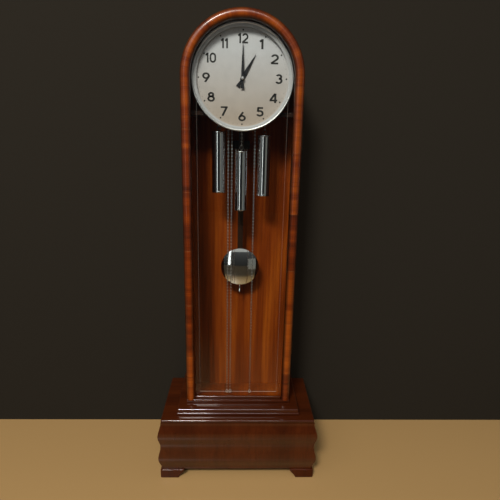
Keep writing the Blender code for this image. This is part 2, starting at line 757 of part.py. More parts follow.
def arbor_distance(module, first_teeth, second_teeth):
    """Distance between the arbors of two meshing wheels."""
    return module * (first_teeth + second_teeth) / 2


def bearing(start, end):
    """Direction from one arbor to another."""
    return math.atan2(end[1] - start[1], end[0] - start[0])


MINUTE_STUD = meshing_point(
    CENTRE, arbor_distance(MINUTE_MODULE, CANNON_TEETH, MINUTE_TEETH), math.radians(-45)
)
GREAT = (sprocket_x(TRAINS["centre"]), SPROCKET_Z)
INTERMEDIATE = crossing_point(
    GREAT, arbor_distance(GREAT_MODULE, GREAT_TEETH, PINION_LEAVES),
    CENTRE, arbor_distance(INTERMEDIATE_MODULE, INTERMEDIATE_TEETH, CENTRE_LEAVES), 1,
)
PALLETS = (0.0, SUSPENSION_Z)
ESCAPE = (0.0, SUSPENSION_Z - PALLET_DISTANCE)
THIRD = crossing_point(
    CENTRE, arbor_distance(FAST_MODULE, CENTRE_TEETH, PINION_LEAVES),
    ESCAPE, arbor_distance(FAST_MODULE, THIRD_TEETH, PINION_LEAVES), -1,
)


def gear_loop(teeth, module, tooth_at):
    """Outline of a wheel with pointed teeth, one of them in a given direction."""
    pitch = 2 * math.pi / teeth
    tip = module * (teeth / 2 + TOOTH_RISE)
    root = module * (teeth / 2 - TOOTH_FALL)
    loop = []
    for i in range(teeth):
        turn = tooth_at + pitch * i
        for radius, share in ((root, -TOOTH_HALF_SHARE), (tip, 0.0), (root, TOOTH_HALF_SHARE)):
            angle = turn + share * pitch
            loop.append((radius * math.cos(angle), radius * math.sin(angle)))
    return loop


def wheel_mesh(teeth, module, tooth_at, depth, bore=None):
    """A toothed wheel between two depths y, in the frame of its arbor."""
    loops = [gear_loop(teeth, module, tooth_at)]
    if bore is not None:
        loops.append(circle(bore))
    return outline_mesh(loops, -depth[1], -depth[0])


def gap_towards(start, end, teeth):
    """Tooth direction that leaves a gap between teeth towards another arbor."""
    return bearing(start, end) + math.pi / teeth


def arbor(name, place, radius, depth, wheels):
    """An arbor with the wheels that are fixed on it."""
    part = add_part(
        name, rod_mesh(radius, -depth[1], -depth[0], sides=8), BRASS, (place[0], 0, place[1]), FACING_FRONT
    )
    for mesh in wheels:
        combine(part, mesh, "UNION")
    return part


def make_motion_work():
    stud_bearing = bearing(CENTRE, MINUTE_STUD)
    cannon = wheel_mesh(CANNON_TEETH, MINUTE_MODULE, stud_bearing, MOTION_WHEEL_Y)
    pinion = wheel_mesh(CENTRE_LEAVES, INTERMEDIATE_MODULE, bearing(CENTRE, INTERMEDIATE), CENTRE_PINION_Y)
    wheel = wheel_mesh(CENTRE_TEETH, FAST_MODULE, bearing(CENTRE, THIRD), CENTRE_WHEEL_Y)
    arbor("centre_arbor", CENTRE, CENTRE_ARBOR_RADIUS, CENTRE_ARBOR_Y, (cannon, pinion, wheel))
    tooth = gap_towards(MINUTE_STUD, CENTRE, MINUTE_TEETH)
    wheel = wheel_mesh(MINUTE_TEETH, MINUTE_MODULE, tooth, MOTION_WHEEL_Y)
    pinion = wheel_mesh(MINUTE_PINION_TEETH, HOUR_MODULE, bearing(MINUTE_STUD, CENTRE), MINUTE_PINION_Y)
    arbor("minute_wheel", MINUTE_STUD, ARBOR_RADIUS, MINUTE_STUD_Y, (wheel, pinion))
    inner, outer = HOUR_PIPE
    front, back = -HOUR_PIPE_Y[0], -HOUR_PIPE_Y[1]
    profile = [(inner, front), (outer, front), (outer, back), (inner, back)]
    hour = turned("hour_wheel", profile, BRASS, (0, 0, ARCH_Z), FACING_FRONT, 12, True)
    tooth = gap_towards(CENTRE, MINUTE_STUD, HOUR_TEETH)
    wheel = wheel_mesh(HOUR_TEETH, HOUR_MODULE, tooth, HOUR_WHEEL_Y, (inner + outer) / 2)
    combine(hour, wheel, "UNION")


def sprocket_meshes():
    """The drum and the two flanges that carry a chain."""
    drum = SPROCKET_PITCH_RADIUS - CHAIN_RADIUS - 2 * GAP
    flange = SPROCKET_PITCH_RADIUS + SPROCKET_FLANGE
    reach = SPROCKET_HALF_WIDTH - GAP
    meshes = [rod_mesh(drum, -CHAIN_Y - reach, -CHAIN_Y + reach, sides=14)]
    for face in (SPROCKET_HALF_DRUM, -SPROCKET_HALF_WIDTH):
        low = -CHAIN_Y + face
        meshes.append(rod_mesh(flange, low, low + SPROCKET_HALF_WIDTH - SPROCKET_HALF_DRUM, sides=16))
    return meshes


def make_going_train():
    arbor("going_sprocket", GREAT, CHAIN_ARBOR_RADIUS, ARBOR_Y, sprocket_meshes())
    tooth = gap_towards(GREAT, INTERMEDIATE, GREAT_TEETH)
    bore = CHAIN_ARBOR_RADIUS + PIVOT_SLACK
    great = wheel_mesh(GREAT_TEETH, GREAT_MODULE, tooth, GREAT_WHEEL_Y, bore)
    add_part("going_great_wheel", great, BRASS, (GREAT[0], 0, GREAT[1]), FACING_FRONT)
    pinion = wheel_mesh(PINION_LEAVES, GREAT_MODULE, bearing(INTERMEDIATE, GREAT), INTERMEDIATE_PINION_Y)
    tooth = gap_towards(INTERMEDIATE, CENTRE, INTERMEDIATE_TEETH)
    wheel = wheel_mesh(INTERMEDIATE_TEETH, INTERMEDIATE_MODULE, tooth, INTERMEDIATE_WHEEL_Y)
    arbor("intermediate_wheel", INTERMEDIATE, ARBOR_RADIUS, ARBOR_Y, (pinion, wheel))
    tooth = gap_towards(THIRD, CENTRE, PINION_LEAVES)
    pinion = wheel_mesh(PINION_LEAVES, FAST_MODULE, tooth, THIRD_PINION_Y)
    wheel = wheel_mesh(THIRD_TEETH, FAST_MODULE, bearing(THIRD, ESCAPE), THIRD_WHEEL_Y)
    arbor("third_wheel", THIRD, ARBOR_RADIUS, ARBOR_Y, (pinion, wheel))
    tooth = gap_towards(ESCAPE, THIRD, PINION_LEAVES)
    pinion = wheel_mesh(PINION_LEAVES, FAST_MODULE, tooth, ESCAPE_PINION_Y)
    wheel = wheel_mesh(ESCAPE_TEETH, ESCAPE_MODULE, 0.0, ESCAPE_WHEEL_Y)
    arbor("escape_wheel", ESCAPE, ARBOR_RADIUS, ARBOR_Y, (pinion, wheel))


def make_side_trains():
    for name, word in (("strike_chain_wheel", "left"), ("chime_chain_wheel", "right")):
        wheel = wheel_mesh(SIDE_TEETH, SIDE_MODULE, 0.0, SIDE_WHEEL_Y)
        place = (sprocket_x(TRAINS[word]), SPROCKET_Z)
        arbor(name, place, CHAIN_ARBOR_RADIUS, ARBOR_Y, [*sprocket_meshes(), wheel])


def make_anchor():
    """The anchor over the escape wheel, with its arbor and the crutch that holds the pendulum."""
    left = [(-x, z) for x, z in reversed(ANCHOR_HALF[1:-1])]
    pallets = outline_mesh([[*ANCHOR_HALF, *left]], -ANCHOR_Y[1], -ANCHOR_Y[0])
    anchor = arbor("anchor", PALLETS, ARBOR_RADIUS, ANCHOR_ARBOR_Y, [pallets])
    inner = STICK_HALF_WIDTH + FORK_SLACK
    outer = inner + FORK_WALL
    low, fork, width = -CRUTCH_DROP, FORK_HEIGHT - CRUTCH_DROP, CRUTCH_HALF_WIDTH
    stem = [
        (-width, CRUTCH_TOP), (-width, fork), (-outer, fork), (-outer, low),
        (outer, low), (outer, fork), (width, fork), (width, CRUTCH_TOP),
    ]
    combine(anchor, outline_mesh([stem], -CRUTCH_Y[1], -CRUTCH_Y[0]), "UNION")
    for side in (-1, 1):
        near, far = sorted((side * inner, side * outer))
        prong = block_mesh((near, low + FORK_INSET, -FORK_Y[1]), (far, fork - FORK_INSET, -FORK_Y[0]))
        combine(anchor, prong, "UNION")


def movement_plate(name, depth, holes):
    """A movement plate between two depths y, with its pivot holes."""
    half = PLATE_HALF_WIDTH
    plate = add_part(name, block_mesh((-half, depth[0], PLATE_LOW_Z), (half, depth[1], PLATE_HIGH_Z)), BRASS)
    for (x, z), radius in holes:
        hole = rod_mesh(radius + PIVOT_SLACK, -depth[1] - CUT_PAST, -depth[0] + CUT_PAST, sides=8)
        combine(plate, hole, "DIFFERENCE", (x, 0, z), FACING_FRONT)
    return plate


def make_plates():
    pivots = [(CENTRE, CENTRE_ARBOR_RADIUS)]
    pivots += [(place, ARBOR_RADIUS) for place in (INTERMEDIATE, THIRD, ESCAPE)]
    pivots += [((sprocket_x(train), SPROCKET_Z), CHAIN_ARBOR_RADIUS) for train in TRAINS.values()]
    movement_plate("front_plate", FRONT_PLATE_Y, pivots + [(MINUTE_STUD, ARBOR_RADIUS)])
    plate = movement_plate("back_plate", BACK_PLATE_Y, pivots + [(PALLETS, ARBOR_RADIUS)])
    for x, z in PILLARS:
        pillar = rod_mesh(PILLAR_RADIUS, -BACK_PLATE_Y[0] - EMBED, -FRONT_PLATE_Y[1] - GAP, sides=8)
        combine(plate, pillar, "UNION", (x, 0, z), FACING_FRONT)
    low = (-COCK_HALF_WIDTH, BACK_PLATE_Y[1] + GAP, COCK_Z[0])
    high = (COCK_HALF_WIDTH, COCK_BACK_Y, COCK_Z[1])
    add_part("suspension_cock", block_mesh(low, high), BRASS)


# Pendulum

def make_pendulum():
    low = (-SPRING_HALF_THICKNESS, PENDULUM_Y - SPRING_HALF_WIDTH, STICK_TOP_Z + GAP)
    high = (SPRING_HALF_THICKNESS, PENDULUM_Y + SPRING_HALF_WIDTH, COCK_Z[0] - GAP)
    spring = add_part("suspension_spring", block_mesh(low, high), STEEL)
    half = STICK_THICKNESS / 2
    low = (-STICK_HALF_WIDTH, PENDULUM_Y - half, STICK_LOW_Z)
    high = (STICK_HALF_WIDTH, PENDULUM_Y + half, STICK_TOP_Z)
    stick = add_part("pendulum_rod", block_mesh(low, high), STICK)
    combine(stick, rod_mesh(SCREW_RADIUS, SCREW_LOW_Z, STICK_LOW_Z + EMBED, (0, PENDULUM_Y), 12), "UNION")
    back = -PENDULUM_Y + half + GAP
    rim = back + BOB_EDGE
    dome = (BOB_RADIUS ** 2 + BOB_CROWN ** 2) / (2 * BOB_CROWN)
    reaches = [BOB_RADIUS * i / BOB_RINGS for i in range(BOB_RINGS + 1)]
    profile = [(r, rim + BOB_CROWN - dome + math.sqrt(dome ** 2 - r ** 2)) for r in reaches]
    profile += [(BOB_RADIUS, back), (0, back)]
    bob = turned("pendulum_bob", profile, CHROME, (0, 0, BOB_Z), FACING_FRONT, 32)
    bore = SCREW_RADIUS + GAP
    low, high = RATING_NUT_Z
    profile = [(bore, high), (RATING_NUT_RADIUS, high), (RATING_NUT_RADIUS, low), (bore, low)]
    nut = turned("rating_nut", profile, CHROME, (0, PENDULUM_Y, 0), steps=12, ring=True)
    hang_on_axis("pendulum_axis", (0, PENDULUM_Y, SUSPENSION_Z), (spring, stick, bob, nut))


# Weights and chains

def make_weight(word, train):
    radius, low = WEIGHT_RADIUS, -WEIGHT_LENGTH
    body = radius - WEIGHT_CAP_LEDGE
    ledge = WEIGHT_CAP + WEIGHT_CAP_SLOPE
    face = radius - WEIGHT_EDGE
    profile = [
        (0, 0), (face, 0), (radius, -WEIGHT_EDGE), (radius, -WEIGHT_CAP), (body, -ledge),
        (body, low + ledge), (radius, low + WEIGHT_CAP), (radius, low + WEIGHT_EDGE), (face, low), (0, low),
    ]
    place = (train["weight_x"], CHAIN_Y, train["top_z"])
    weight = turned(f"weight_{word}", profile, CHROME, place, steps=20)
    combine(weight, rod_mesh(NECK_RADIUS, -EMBED, NECK_HEIGHT, sides=8), "UNION")
    combine(weight, ring_mesh(HOOK_RADIUS, HOOK_WIRE, HOOK_LIFT + HOOK_RADIUS), "UNION")


def make_chain(word, train):
    end_x = free_x(train)
    hook_top = train["top_z"] + HOOK_LIFT + 2 * HOOK_RADIUS + HOOK_WIRE + GAP
    start = 0 if train["side"] > 0 else math.pi
    bend = arc(SPROCKET_PITCH_RADIUS, start, math.pi - start, 10, (sprocket_x(train), SPROCKET_Z))
    route = [(train["weight_x"], CHAIN_Y, hook_top)] + [(x, CHAIN_Y, z) for x, z in bend]
    add_part(f"weight_chain_{word}", wire_mesh(route, CHAIN_RADIUS), STEEL, smooth=True)
    ring_top = END_RING_Z + END_RING_RADIUS + HOOK_WIRE + GAP
    strand = rod_mesh(CHAIN_RADIUS, ring_top, SPROCKET_Z - GAP, (end_x, CHAIN_Y), 8)
    add_part(f"free_chain_{word}", strand, STEEL, smooth=True)
    ring = ring_mesh(END_RING_RADIUS, HOOK_WIRE, 0.0)
    add_part(f"chain_ring_{word}", ring, STEEL, (end_x, CHAIN_Y, END_RING_Z), smooth=True)


def make_gong():
    """Cast block on the back board with the chime rods screwed into it."""
    high = GONG_LOW_Z + GONG_HEIGHT
    near = (-GONG_HALF_WIDTH, GONG_FRONT_Y, GONG_LOW_Z)
    far = (GONG_HALF_WIDTH, BACK_BOARD_FRONT_Y - GAP, high)
    block = add_part("gong_block", block_mesh(near, far), IRON)
    for i, length in enumerate(ROD_LENGTHS):
        x = ROD_SPACING * (i - (len(ROD_LENGTHS) - 1) / 2)
        rod = rod_mesh(ROD_RADIUS, GONG_LOW_Z - length, GONG_LOW_Z + ROD_EMBED, (x, ROD_Y), 8)
        combine(block, rod, "UNION")


make_base()
make_feet()
make_plinth()
make_case()
make_seat_board()
hang_on_axis("door_axis", (HINGE_X, HINGE_Y, DOOR_LOW_Z), make_door() + make_hinges())
make_dial()
make_hands()
make_motion_work()
make_going_train()
make_side_trains()
make_anchor()
make_plates()
make_pendulum()
for train_word, train_sizes in TRAINS.items():
    make_weight(train_word, train_sizes)
    make_chain(train_word, train_sizes)
make_gong()
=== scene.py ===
"""Looks of an arched art deco floor clock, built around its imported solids. Lengths are in metres."""

import math

import bmesh
import bpy
from mathutils import Matrix, Vector


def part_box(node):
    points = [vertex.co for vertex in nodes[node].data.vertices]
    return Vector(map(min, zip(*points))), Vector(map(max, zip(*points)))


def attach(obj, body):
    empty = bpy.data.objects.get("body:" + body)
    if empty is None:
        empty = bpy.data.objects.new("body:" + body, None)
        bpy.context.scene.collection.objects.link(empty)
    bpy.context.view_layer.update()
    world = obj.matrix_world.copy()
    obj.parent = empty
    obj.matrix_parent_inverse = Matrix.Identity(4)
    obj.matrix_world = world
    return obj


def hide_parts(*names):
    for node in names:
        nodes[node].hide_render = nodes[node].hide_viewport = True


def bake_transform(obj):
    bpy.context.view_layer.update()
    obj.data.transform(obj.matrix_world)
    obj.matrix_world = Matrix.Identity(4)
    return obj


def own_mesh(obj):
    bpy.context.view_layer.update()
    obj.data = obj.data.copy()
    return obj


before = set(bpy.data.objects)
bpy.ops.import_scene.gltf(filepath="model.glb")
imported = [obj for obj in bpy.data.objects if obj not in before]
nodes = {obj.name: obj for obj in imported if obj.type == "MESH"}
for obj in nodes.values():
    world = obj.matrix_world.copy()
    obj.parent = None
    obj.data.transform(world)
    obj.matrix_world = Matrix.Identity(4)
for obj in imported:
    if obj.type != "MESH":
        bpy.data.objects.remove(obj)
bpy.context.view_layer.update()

scene = bpy.context.scene
scene.view_settings.view_transform = "Standard"

# Camera, as the photograph was taken: a hand-held view, turned a little and tipped down
PHOTO_WIDTH = 500
FOCAL_PIXELS = 415
SENSOR_WIDTH = 36.0
CAMERA_PLACE = (-0.0068, -1.4742, 1.2740)
CAMERA_PITCH = math.radians(15.03)
CAMERA_YAW = math.radians(1.676)
CAMERA_ROLL = math.radians(1.17)

# Places read from the solids
arch_low, arch_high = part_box("case_arch")
stile_low, stile_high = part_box("door_stile_right")
rail_low, rail_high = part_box("door_bottom_rail")
glass_low, glass_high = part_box("door_glass")
dial_low, dial_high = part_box("dial_plate")
bezel_low, bezel_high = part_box("bezel")
board_low, board_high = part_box("base_top_board")
panel_low, panel_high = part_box("base_front")
plinth_low, plinth_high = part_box("upper_plinth")
bob_low, bob_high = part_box("pendulum_bob")
stick_low, stick_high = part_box("pendulum_rod")
rating_low, rating_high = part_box("rating_nut")
gong_low, gong_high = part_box("gong_block")
ARCH_Z = arch_low.z
DIAL_FRONT_Y = dial_low.y

# Measures that many pieces share
QUARTER = math.pi / 2
FACING_FRONT = Matrix.Rotation(QUARTER, 4, "X")
DIAL_PLACE = Matrix.Translation((0, 0, ARCH_Z)) @ FACING_FRONT
WELD = 0.00001
SMOOTH_ANGLE = math.radians(32)
FEW_SEGMENTS = 3
SOME_SEGMENTS = 4
MANY_SEGMENTS = 5

# Door moulding
MOULDING_SHOULDER_Y = -0.0585
MOULDING_STEPS = 28
ARCH_STEPS = 112
GLASS_REBATE = 0.008
GLASS_REBATE_Y = -0.0560
SEGMENT_LENGTH = 0.205
CROSS_FIGURE = 3.0
RUN_LENGTH = 3.5
LEFT_STILE_RUN = 7.31
# Painted shade across the moulding, from the glass side (0) to the outside (1): darker towards both edges of
# its round
MOULDING_PAINTED_SHADE = (
    (0.0, 0.10), (0.14, 0.28), (0.34, 1.0), (0.55, 1.0), (0.75, 0.62), (0.90, 0.34), (1.0, 0.25),
)
# Painted shade along the run: the right stile and the right of the arch are darker than the left
RIGHT_SIDE_PAINTED_SHADE = ((0.40, 0.80), (0.52, 0.92), (0.72, 1.0))
BANDED_TONES = (
    (0.28, (0.040, 0.0043, 0.0004)), (0.47, (0.180, 0.0262, 0.0013)), (0.66, (0.385, 0.0820, 0.0042)),
)
BANDED_SHARES = (0.52, 0.28, 0.2)
SEGMENT_SHIFT = 9.0
JOINT_COLOUR = (0.42, 0.18, 0.06, 1.0)
JOINT_STRENGTH = 0.5
JOINT_WIDTH = 0.0032
GLASS_BEVEL = 0.0265
GLASS_EDGE = 0.0022
GLASS_SHARP_ANGLE = math.radians(2)
# Painted highlight where the bevel meets the flat of the glass: its width, and how opaque it is along the
# bottom and up the sides
GLINT_LINE_WIDTH = 0.0014
LOW_GLINT_ALPHA = 0.5
SIDE_GLINT_ALPHA = 0.08
RAIL_LIP_Y = -0.064
RAIL_BODY_TOP_Z = 0.2932
RAIL_ROUNDING = 0.002
LIP_ROUNDING = 0.0038
CLEARANCE = 0.0003

# Base and plinth
SWELL = 0.0095
WAIST = 0.0030
BASE_WALL = 0.018
SWELL_POINTS = 64
MITRE_SPARE = 0.03
BOARD_ROUNDING = 0.0057
FOOT_REACH = 0.070
FOOT_FLARE = 0.022
FOOT_WALL = 0.022
FOOT_ROUNDING = 0.0040
FOOT_CURVE_POINTS = 14
FOOT_EDGE_ANGLE = math.radians(50)
PLINTH_STEP_Z = 0.266
PLINTH_BEAD = 0.003
BEAD_ROUNDING = 0.0055
PLINTH_ROUNDING = 0.007
PLINTH_SEGMENTS = 6
CASE_WALL = 0.012
CASE_FLOOR = 0.003
EDGE_ROUNDING = 0.0012

# Dial: print thickness, numerals, and dots as radius and number of sides
PRINT_DEPTH = 0.00018
NUMERAL_HEIGHT = 0.0295
NUMERAL_WIDENING = {1: 1.26, 2: 0.98}
NUMERAL_RADIUS = 0.1180
NUMERAL_STROKE = 0.185
NUMERAL_GAP = 0.13
PEN_FEWEST_STEPS = 6
PEN_STEP_DEGREES = 12
HOUR_DOT_RING = 0.1426
HOUR_DOT = (0.0026, 20)
MINUTE_DOT = (0.0008, 10)
DIAL_HOLE = 0.0056
DIAL_BACK = 0.0185
DIAL_STEPS = 160
# Silver of the dial with a painted reflection, from its bottom to its top: warm and darker, then cool and
# brighter
SILVER_AND_PAINTED_REFLECTION = ((0.08, (0.450, 0.372, 0.312)), (0.80, (0.575, 0.578, 0.612)))
BEZEL_INNER = 0.150
BEZEL_SLOPE = 0.0046
BEZEL_GROOVE = 0.0072
BEZEL_GROOVE_DROP = 0.0032
BEZEL_RIM = 0.0032
BEZEL_RIM_STEPS = 12
BEZEL_STEPS = 192
BEZEL_SLACK = 0.0005

# Numerals drawn by a flat pen on a height of 1: width, then strokes as start, heading in degrees and moves;
# a move is a length and no turn, or a radius and a turn in degrees, positive to the left
NUMERALS = {
    "0": (0.70, (((0.085, 0.35), 90, ((0.30, 0), (0.265, -180), (0.30, 0), (0.265, -180))),)),
    "1": (0.31, (((0.225, 0.0), 90, ((1.0, 0),)), ((0.0, 0.74), 40, ((0.26, 0),)))),
    "2": (0.64, (((0.0935, 0.7297), 75, ((0.25, -215), (0.604, 0))), ((0.0, 0.085), 0, ((0.64, 0),)))),
    "3": (0.64, (((0.129, 0.7995), 65, ((0.20, -245),)), ((0.31, 0.565), 0, ((0.24, -245),)))),
    "4": (0.68, (
        ((0.50, 0.0), 90, ((1.0, 0),)), ((0.0, 0.27), 0, ((0.68, 0),)),
        ((0.06, 0.27), 60.3, ((0.806, 0),)),
    )),
    "5": (0.65, (
        ((0.13, 0.915), 0, ((0.46, 0),)), ((0.17, 0.96), -95, ((0.45, 0),)),
        ((0.13, 0.52), 45, ((0.255, -290),)),
    )),
    "6": (0.67, (((0.09, 0.33), 90, ((0.245, -360),)), ((0.1228, 0.4525), 60, ((0.60, 0),)))),
    "7": (0.62, (((0.0, 0.915), 0, ((0.62, 0),)), ((0.535, 0.93), -112, ((1.003, 0),)))),
    "8": (0.65, (((0.145, 0.73), 90, ((0.185, -360),)), ((0.09, 0.325), 90, ((0.24, -360),)))),
    "9": (0.67, (((0.58, 0.67), -90, ((0.245, -360),)), ((0.5472, 0.5475), -120, ((0.60, 0),)))),
}

# Hands as distance along the hand and half width, from tail to point
HOUR_HAND = (
    (-0.030, 0.0072), (-0.011, 0.0030), (-0.0055, 0.0056), (0.0, 0.0070), (0.0055, 0.0062),
    (0.012, 0.0056), (0.020, 0.0060), (0.082, 0.0006),
)
MINUTE_HAND = (
    (-0.031, 0.0060), (-0.011, 0.0026), (-0.0045, 0.0044), (0.0, 0.0054), (0.0045, 0.0048),
    (0.010, 0.0044), (0.020, 0.0047), (0.1045, 0.0006),
)
HAND_CROWN = 0.0005
HAND_INSET = 0.0009
HAND_SHARP_ANGLE = math.radians(20)
NUT_COVER = 0.0004
NUT_CROWN = 0.55
NUT_DROP = 0.0012
NUT_ROUNDING = 0.0018
NUT_STEPS = 40
HAND_TURNS = {"hour_hand": math.radians(30), "minute_hand": 0.0}

# Chains and weights; each weight hangs on the left (-1) or right (1) of its chain wheel
WEIGHTS = {"left": -1, "centre": 1, "right": 1}
WEIGHT_LENGTH = 0.2085
CAP_DEPTH = 0.006
CAP_LEDGE = 0.0006
CAP_SLOPE = 0.0003
CAP_ROUNDING = 0.0030
WEIGHT_STEPS = 96
NECK_RADII = (0.0028, 0.0046, 0.0052)
NECK_SHOULDER = 0.0012
NECK_STEPS = 24
HOOK_LIFT = 0.0035
HOOK_RADIUS = 0.006
HOOK_WIRE = 0.0014
HOOK_SIDES = 10
HOOK_STEPS = 32
LINK_PITCH = 0.0060
LINK_WIRE = 0.00080
LINK_FLATNESS = 0.40
LINK_HALF_WIDTH = 0.00165
LINK_SIDES = 6
LINK_END_STEPS = 4
LINK_TURN = math.radians(8)
SPROCKET_PITCH_RADIUS = 0.0165
SPROCKET_Z = 1.4212

# Pendulum, its threaded end and rating nut
BOB_EDGE = 0.004
BOB_STEPS = 32
BOB_ROUNDING = 0.0006
BOB_TURN_STEPS = 160
STICK_PAST_BOB = 0.059
SCREW_RADIUS = 0.0020
SCREW_ROOT = 0.0016
SCREW_TURNS = 28
SCREW_CREST = 0.0004
SCREW_RUNOUT = 0.004
SCREW_POINT = ((0.0014, 0.002), (0.0004, 0.0))
SCREW_STEPS = 20
RATING_BORE = 0.0023
RATING_ROUNDING = 0.0008
RATING_STEPS = 36

# Chime rods, and their collars as radius and depth below the block
ROD_LENGTHS = (0.1555, 0.2015, 0.2215, 0.1835, 0.1635)
ROD_SPACING = 0.00975
ROD_RADIUS = 0.0016
ROD_Y = 0.115
ROD_TIP = 0.0006
ROD_COLLAR = ((0.0, 0.0), (0.0036, 0.0), (0.0036, -0.004), (0.0010, -0.009), (0.0010, -0.011))
ROD_START = -0.014
ROD_STEPS = 20
GONG_HEIGHT = 0.028
GONG_ROUNDING = 0.003


# Finishes

WOOD_SHARES = (0.6, 0.4)
PORE_GREYS = ((0.30, 0.78), (0.42, 1.0))


def fill(tree, socket, value):
    """Join a socket to another one, or set its value."""
    if isinstance(value, bpy.types.NodeSocket):
        tree.links.new(value, socket)
    else:
        socket.default_value = value


def place_node(tree, kind, settings=None, **sockets):
    """A shader node with its settings, and its sockets filled with values or joined to other sockets."""
    made = tree.nodes.new(kind)
    for name, value in (settings or {}).items():
        setattr(made, name, value)
    for name, value in sockets.items():
        fill(tree, made.inputs[name.replace("_", " ")], value)
    return made


def sum_of(tree, operation, first, second):
    """A sum, product or other reckoning of two values."""
    made = tree.nodes.new("ShaderNodeMath")
    made.operation = operation
    for socket, value in zip(made.inputs, (first, second)):
        fill(tree, socket, value)
    return made.outputs[0]


def weighed_sum(tree, values, shares):
    """Values added up, each by its share."""
    total, *others = [sum_of(tree, "MULTIPLY", value, share) for value, share in zip(values, shares)]
    for other in others:
        total = sum_of(tree, "ADD", total, other)
    return total


def shades(tree, value, stops):
    """A colour or a grey picked from a row of stops by a value."""
    ramp = tree.nodes.new("ShaderNodeValToRGB")
    elements = ramp.color_ramp.elements
    while len(elements) < len(stops):
        elements.new(0.5)
    for element, (place, colour) in zip(elements, stops):
        element.position = place
        element.color = (*colour, 1.0) if isinstance(colour, tuple) else (colour, colour, colour, 1.0)
    tree.links.new(value, ramp.inputs["Fac"])
    return ramp.outputs["Color"]


def new_group(name, inputs, outputs):
    """An empty shader node group with its sockets."""
    group = bpy.data.node_groups.new(name, "ShaderNodeTree")
    for title, kind in inputs:
        group.interface.new_socket(title, in_out="INPUT", socket_type=kind)
    for title, kind in outputs:
        group.interface.new_socket(title, in_out="OUTPUT", socket_type=kind)
    return group, group.nodes.new("NodeGroupInput"), group.nodes.new("NodeGroupOutput")


def make_wood_figure():
    """Wood whose fibres run along Z: broad tone, fine streaks and open pores."""
    group, given, result = new_group(
        "wood_figure", [("Vector", "NodeSocketVector")],
        [("Tone", "NodeSocketFloat"), ("Streak", "NodeSocketFloat"), ("Pore", "NodeSocketFloat")],
    )
    for title, stretch, detail, twist in (
        ("Tone", (7.0, 7.0, 0.9), 3.0, 1.2), ("Streak", (120.0, 120.0, 3.0), 5.0, 0.4),
        ("Pore", (900.0, 900.0, 26.0), 2.0, 0.0),
    ):
        spread = place_node(group, "ShaderNodeMapping", Vector=given.outputs["Vector"], Scale=stretch)
        noise = place_node(
            group, "ShaderNodeTexNoise", Vector=spread.outputs["Vector"], Scale=1.0, Detail=detail,
            Distortion=twist,
        )
        group.links.new(noise.outputs["Fac"], result.inputs[title])
    return group


def make_veneer_segments():
    """Short lengths of veneer laid end to end: each has its own tone, with a thin joint between them."""
    group, given, result = new_group(
        "veneer_segments", [("Run", "NodeSocketFloat"), ("Length", "NodeSocketFloat")],
        [("Tone", "NodeSocketFloat"), ("Joint", "NodeSocketFloat")],
    )
    count = sum_of(group, "DIVIDE", given.outputs["Run"], given.outputs["Length"])
    whole = sum_of(group, "FLOOR", count, 0.0)
    white = place_node(group, "ShaderNodeTexWhiteNoise", {"noise_dimensions": "1D"}, W=whole)
    group.links.new(white.outputs["Value"], result.inputs["Tone"])
    part = sum_of(group, "SUBTRACT", sum_of(group, "FRACT", count, 0.0), 0.5)
    edge = sum_of(group, "SUBTRACT", 0.5, sum_of(group, "ABSOLUTE", part, 0.0))
    group.links.new(sum_of(group, "LESS_THAN", edge, JOINT_WIDTH), result.inputs["Joint"])
    return group


def make_fine_wear():
    """Faint smudges and dust that make a polished surface a little uneven."""
    group, given, result = new_group(
        "fine_wear", [("Vector", "NodeSocketVector"), ("Scale", "NodeSocketFloat")],
        [("Smudge", "NodeSocketFloat")],
    )
    noise = place_node(
        group, "ShaderNodeTexNoise", Vector=given.outputs["Vector"], Scale=given.outputs["Scale"], Detail=6.0,
        Roughness=0.6,
    )
    group.links.new(noise.outputs["Fac"], result.inputs["Smudge"])
    return group


WOOD_FIGURE = make_wood_figure()
VENEER_SEGMENTS = make_veneer_segments()
FINE_WEAR = make_fine_wear()


def new_finish(name):
    """A material with its shader and the coordinates of the piece that wears it."""
    material = bpy.data.materials.new(name)
    material.use_nodes = True
    tree = material.node_tree
    shader = tree.nodes["Principled BSDF"]
    return material, tree, shader, tree.nodes.new("ShaderNodeTexCoord").outputs["Object"]


def place_group(tree, group, **sockets):
    """A shared effect placed in a material."""
    made = tree.nodes.new("ShaderNodeGroup")
    made.node_tree = group
    for name, value in sockets.items():
        fill(tree, made.inputs[name], value)
    return made


def set_plain(shader, **values):
    """Values that are the same all over a surface."""
    for name, value in values.items():
        shader.inputs[name.replace("_", " ")].default_value = value


def wear_in(tree, shader, place, scale, gloss, stops=None):
    """Smudges that make the roughness wander between two values, and the colour along any stops."""
    smudge = place_group(tree, FINE_WEAR, Vector=place, Scale=scale).outputs["Smudge"]
    if stops:
        tree.links.new(shades(tree, smudge, stops), shader.inputs["Base Color"])
    low, high = gloss
    made = place_node(
        tree, "ShaderNodeMapRange", Value=smudge, From_Min=0.3, From_Max=0.7, To_Min=low, To_Max=high
    )
    tree.links.new(made.outputs["Result"], shader.inputs["Roughness"])
    return smudge


def raise_surface(tree, shader, height, distance, strength=1.0):
    """A fine relief."""
    bump = place_node(tree, "ShaderNodeBump", Height=height, Distance=distance, Strength=strength)
    tree.links.new(bump.outputs["Normal"], shader.inputs["Normal"])


def tinted(tree, first, second, share, blend="MIX"):
    """Two colours mixed, or one laid over the other."""
    mix = tree.nodes.new("ShaderNodeMix")
    mix.data_type = "RGBA"
    mix.blend_type = blend
    for socket, value in ((mix.inputs[0], share), (mix.inputs[6], first), (mix.inputs[7], second)):
        fill(tree, socket, value)
    return mix.outputs[2]


def let_through(tree, shader, clear, shares):
    """A clear surface in place of a shader wherever one of the shares is 1."""
    surface = shader.outputs["BSDF"]
    for share in shares:
        mix = tree.nodes.new("ShaderNodeMixShader")
        for socket, source in zip(mix.inputs, (share, surface, clear.outputs["BSDF"])):
            tree.links.new(source, socket)
        surface = mix.outputs["Shader"]
    tree.links.new(surface, tree.nodes["Material Output"].inputs["Surface"])


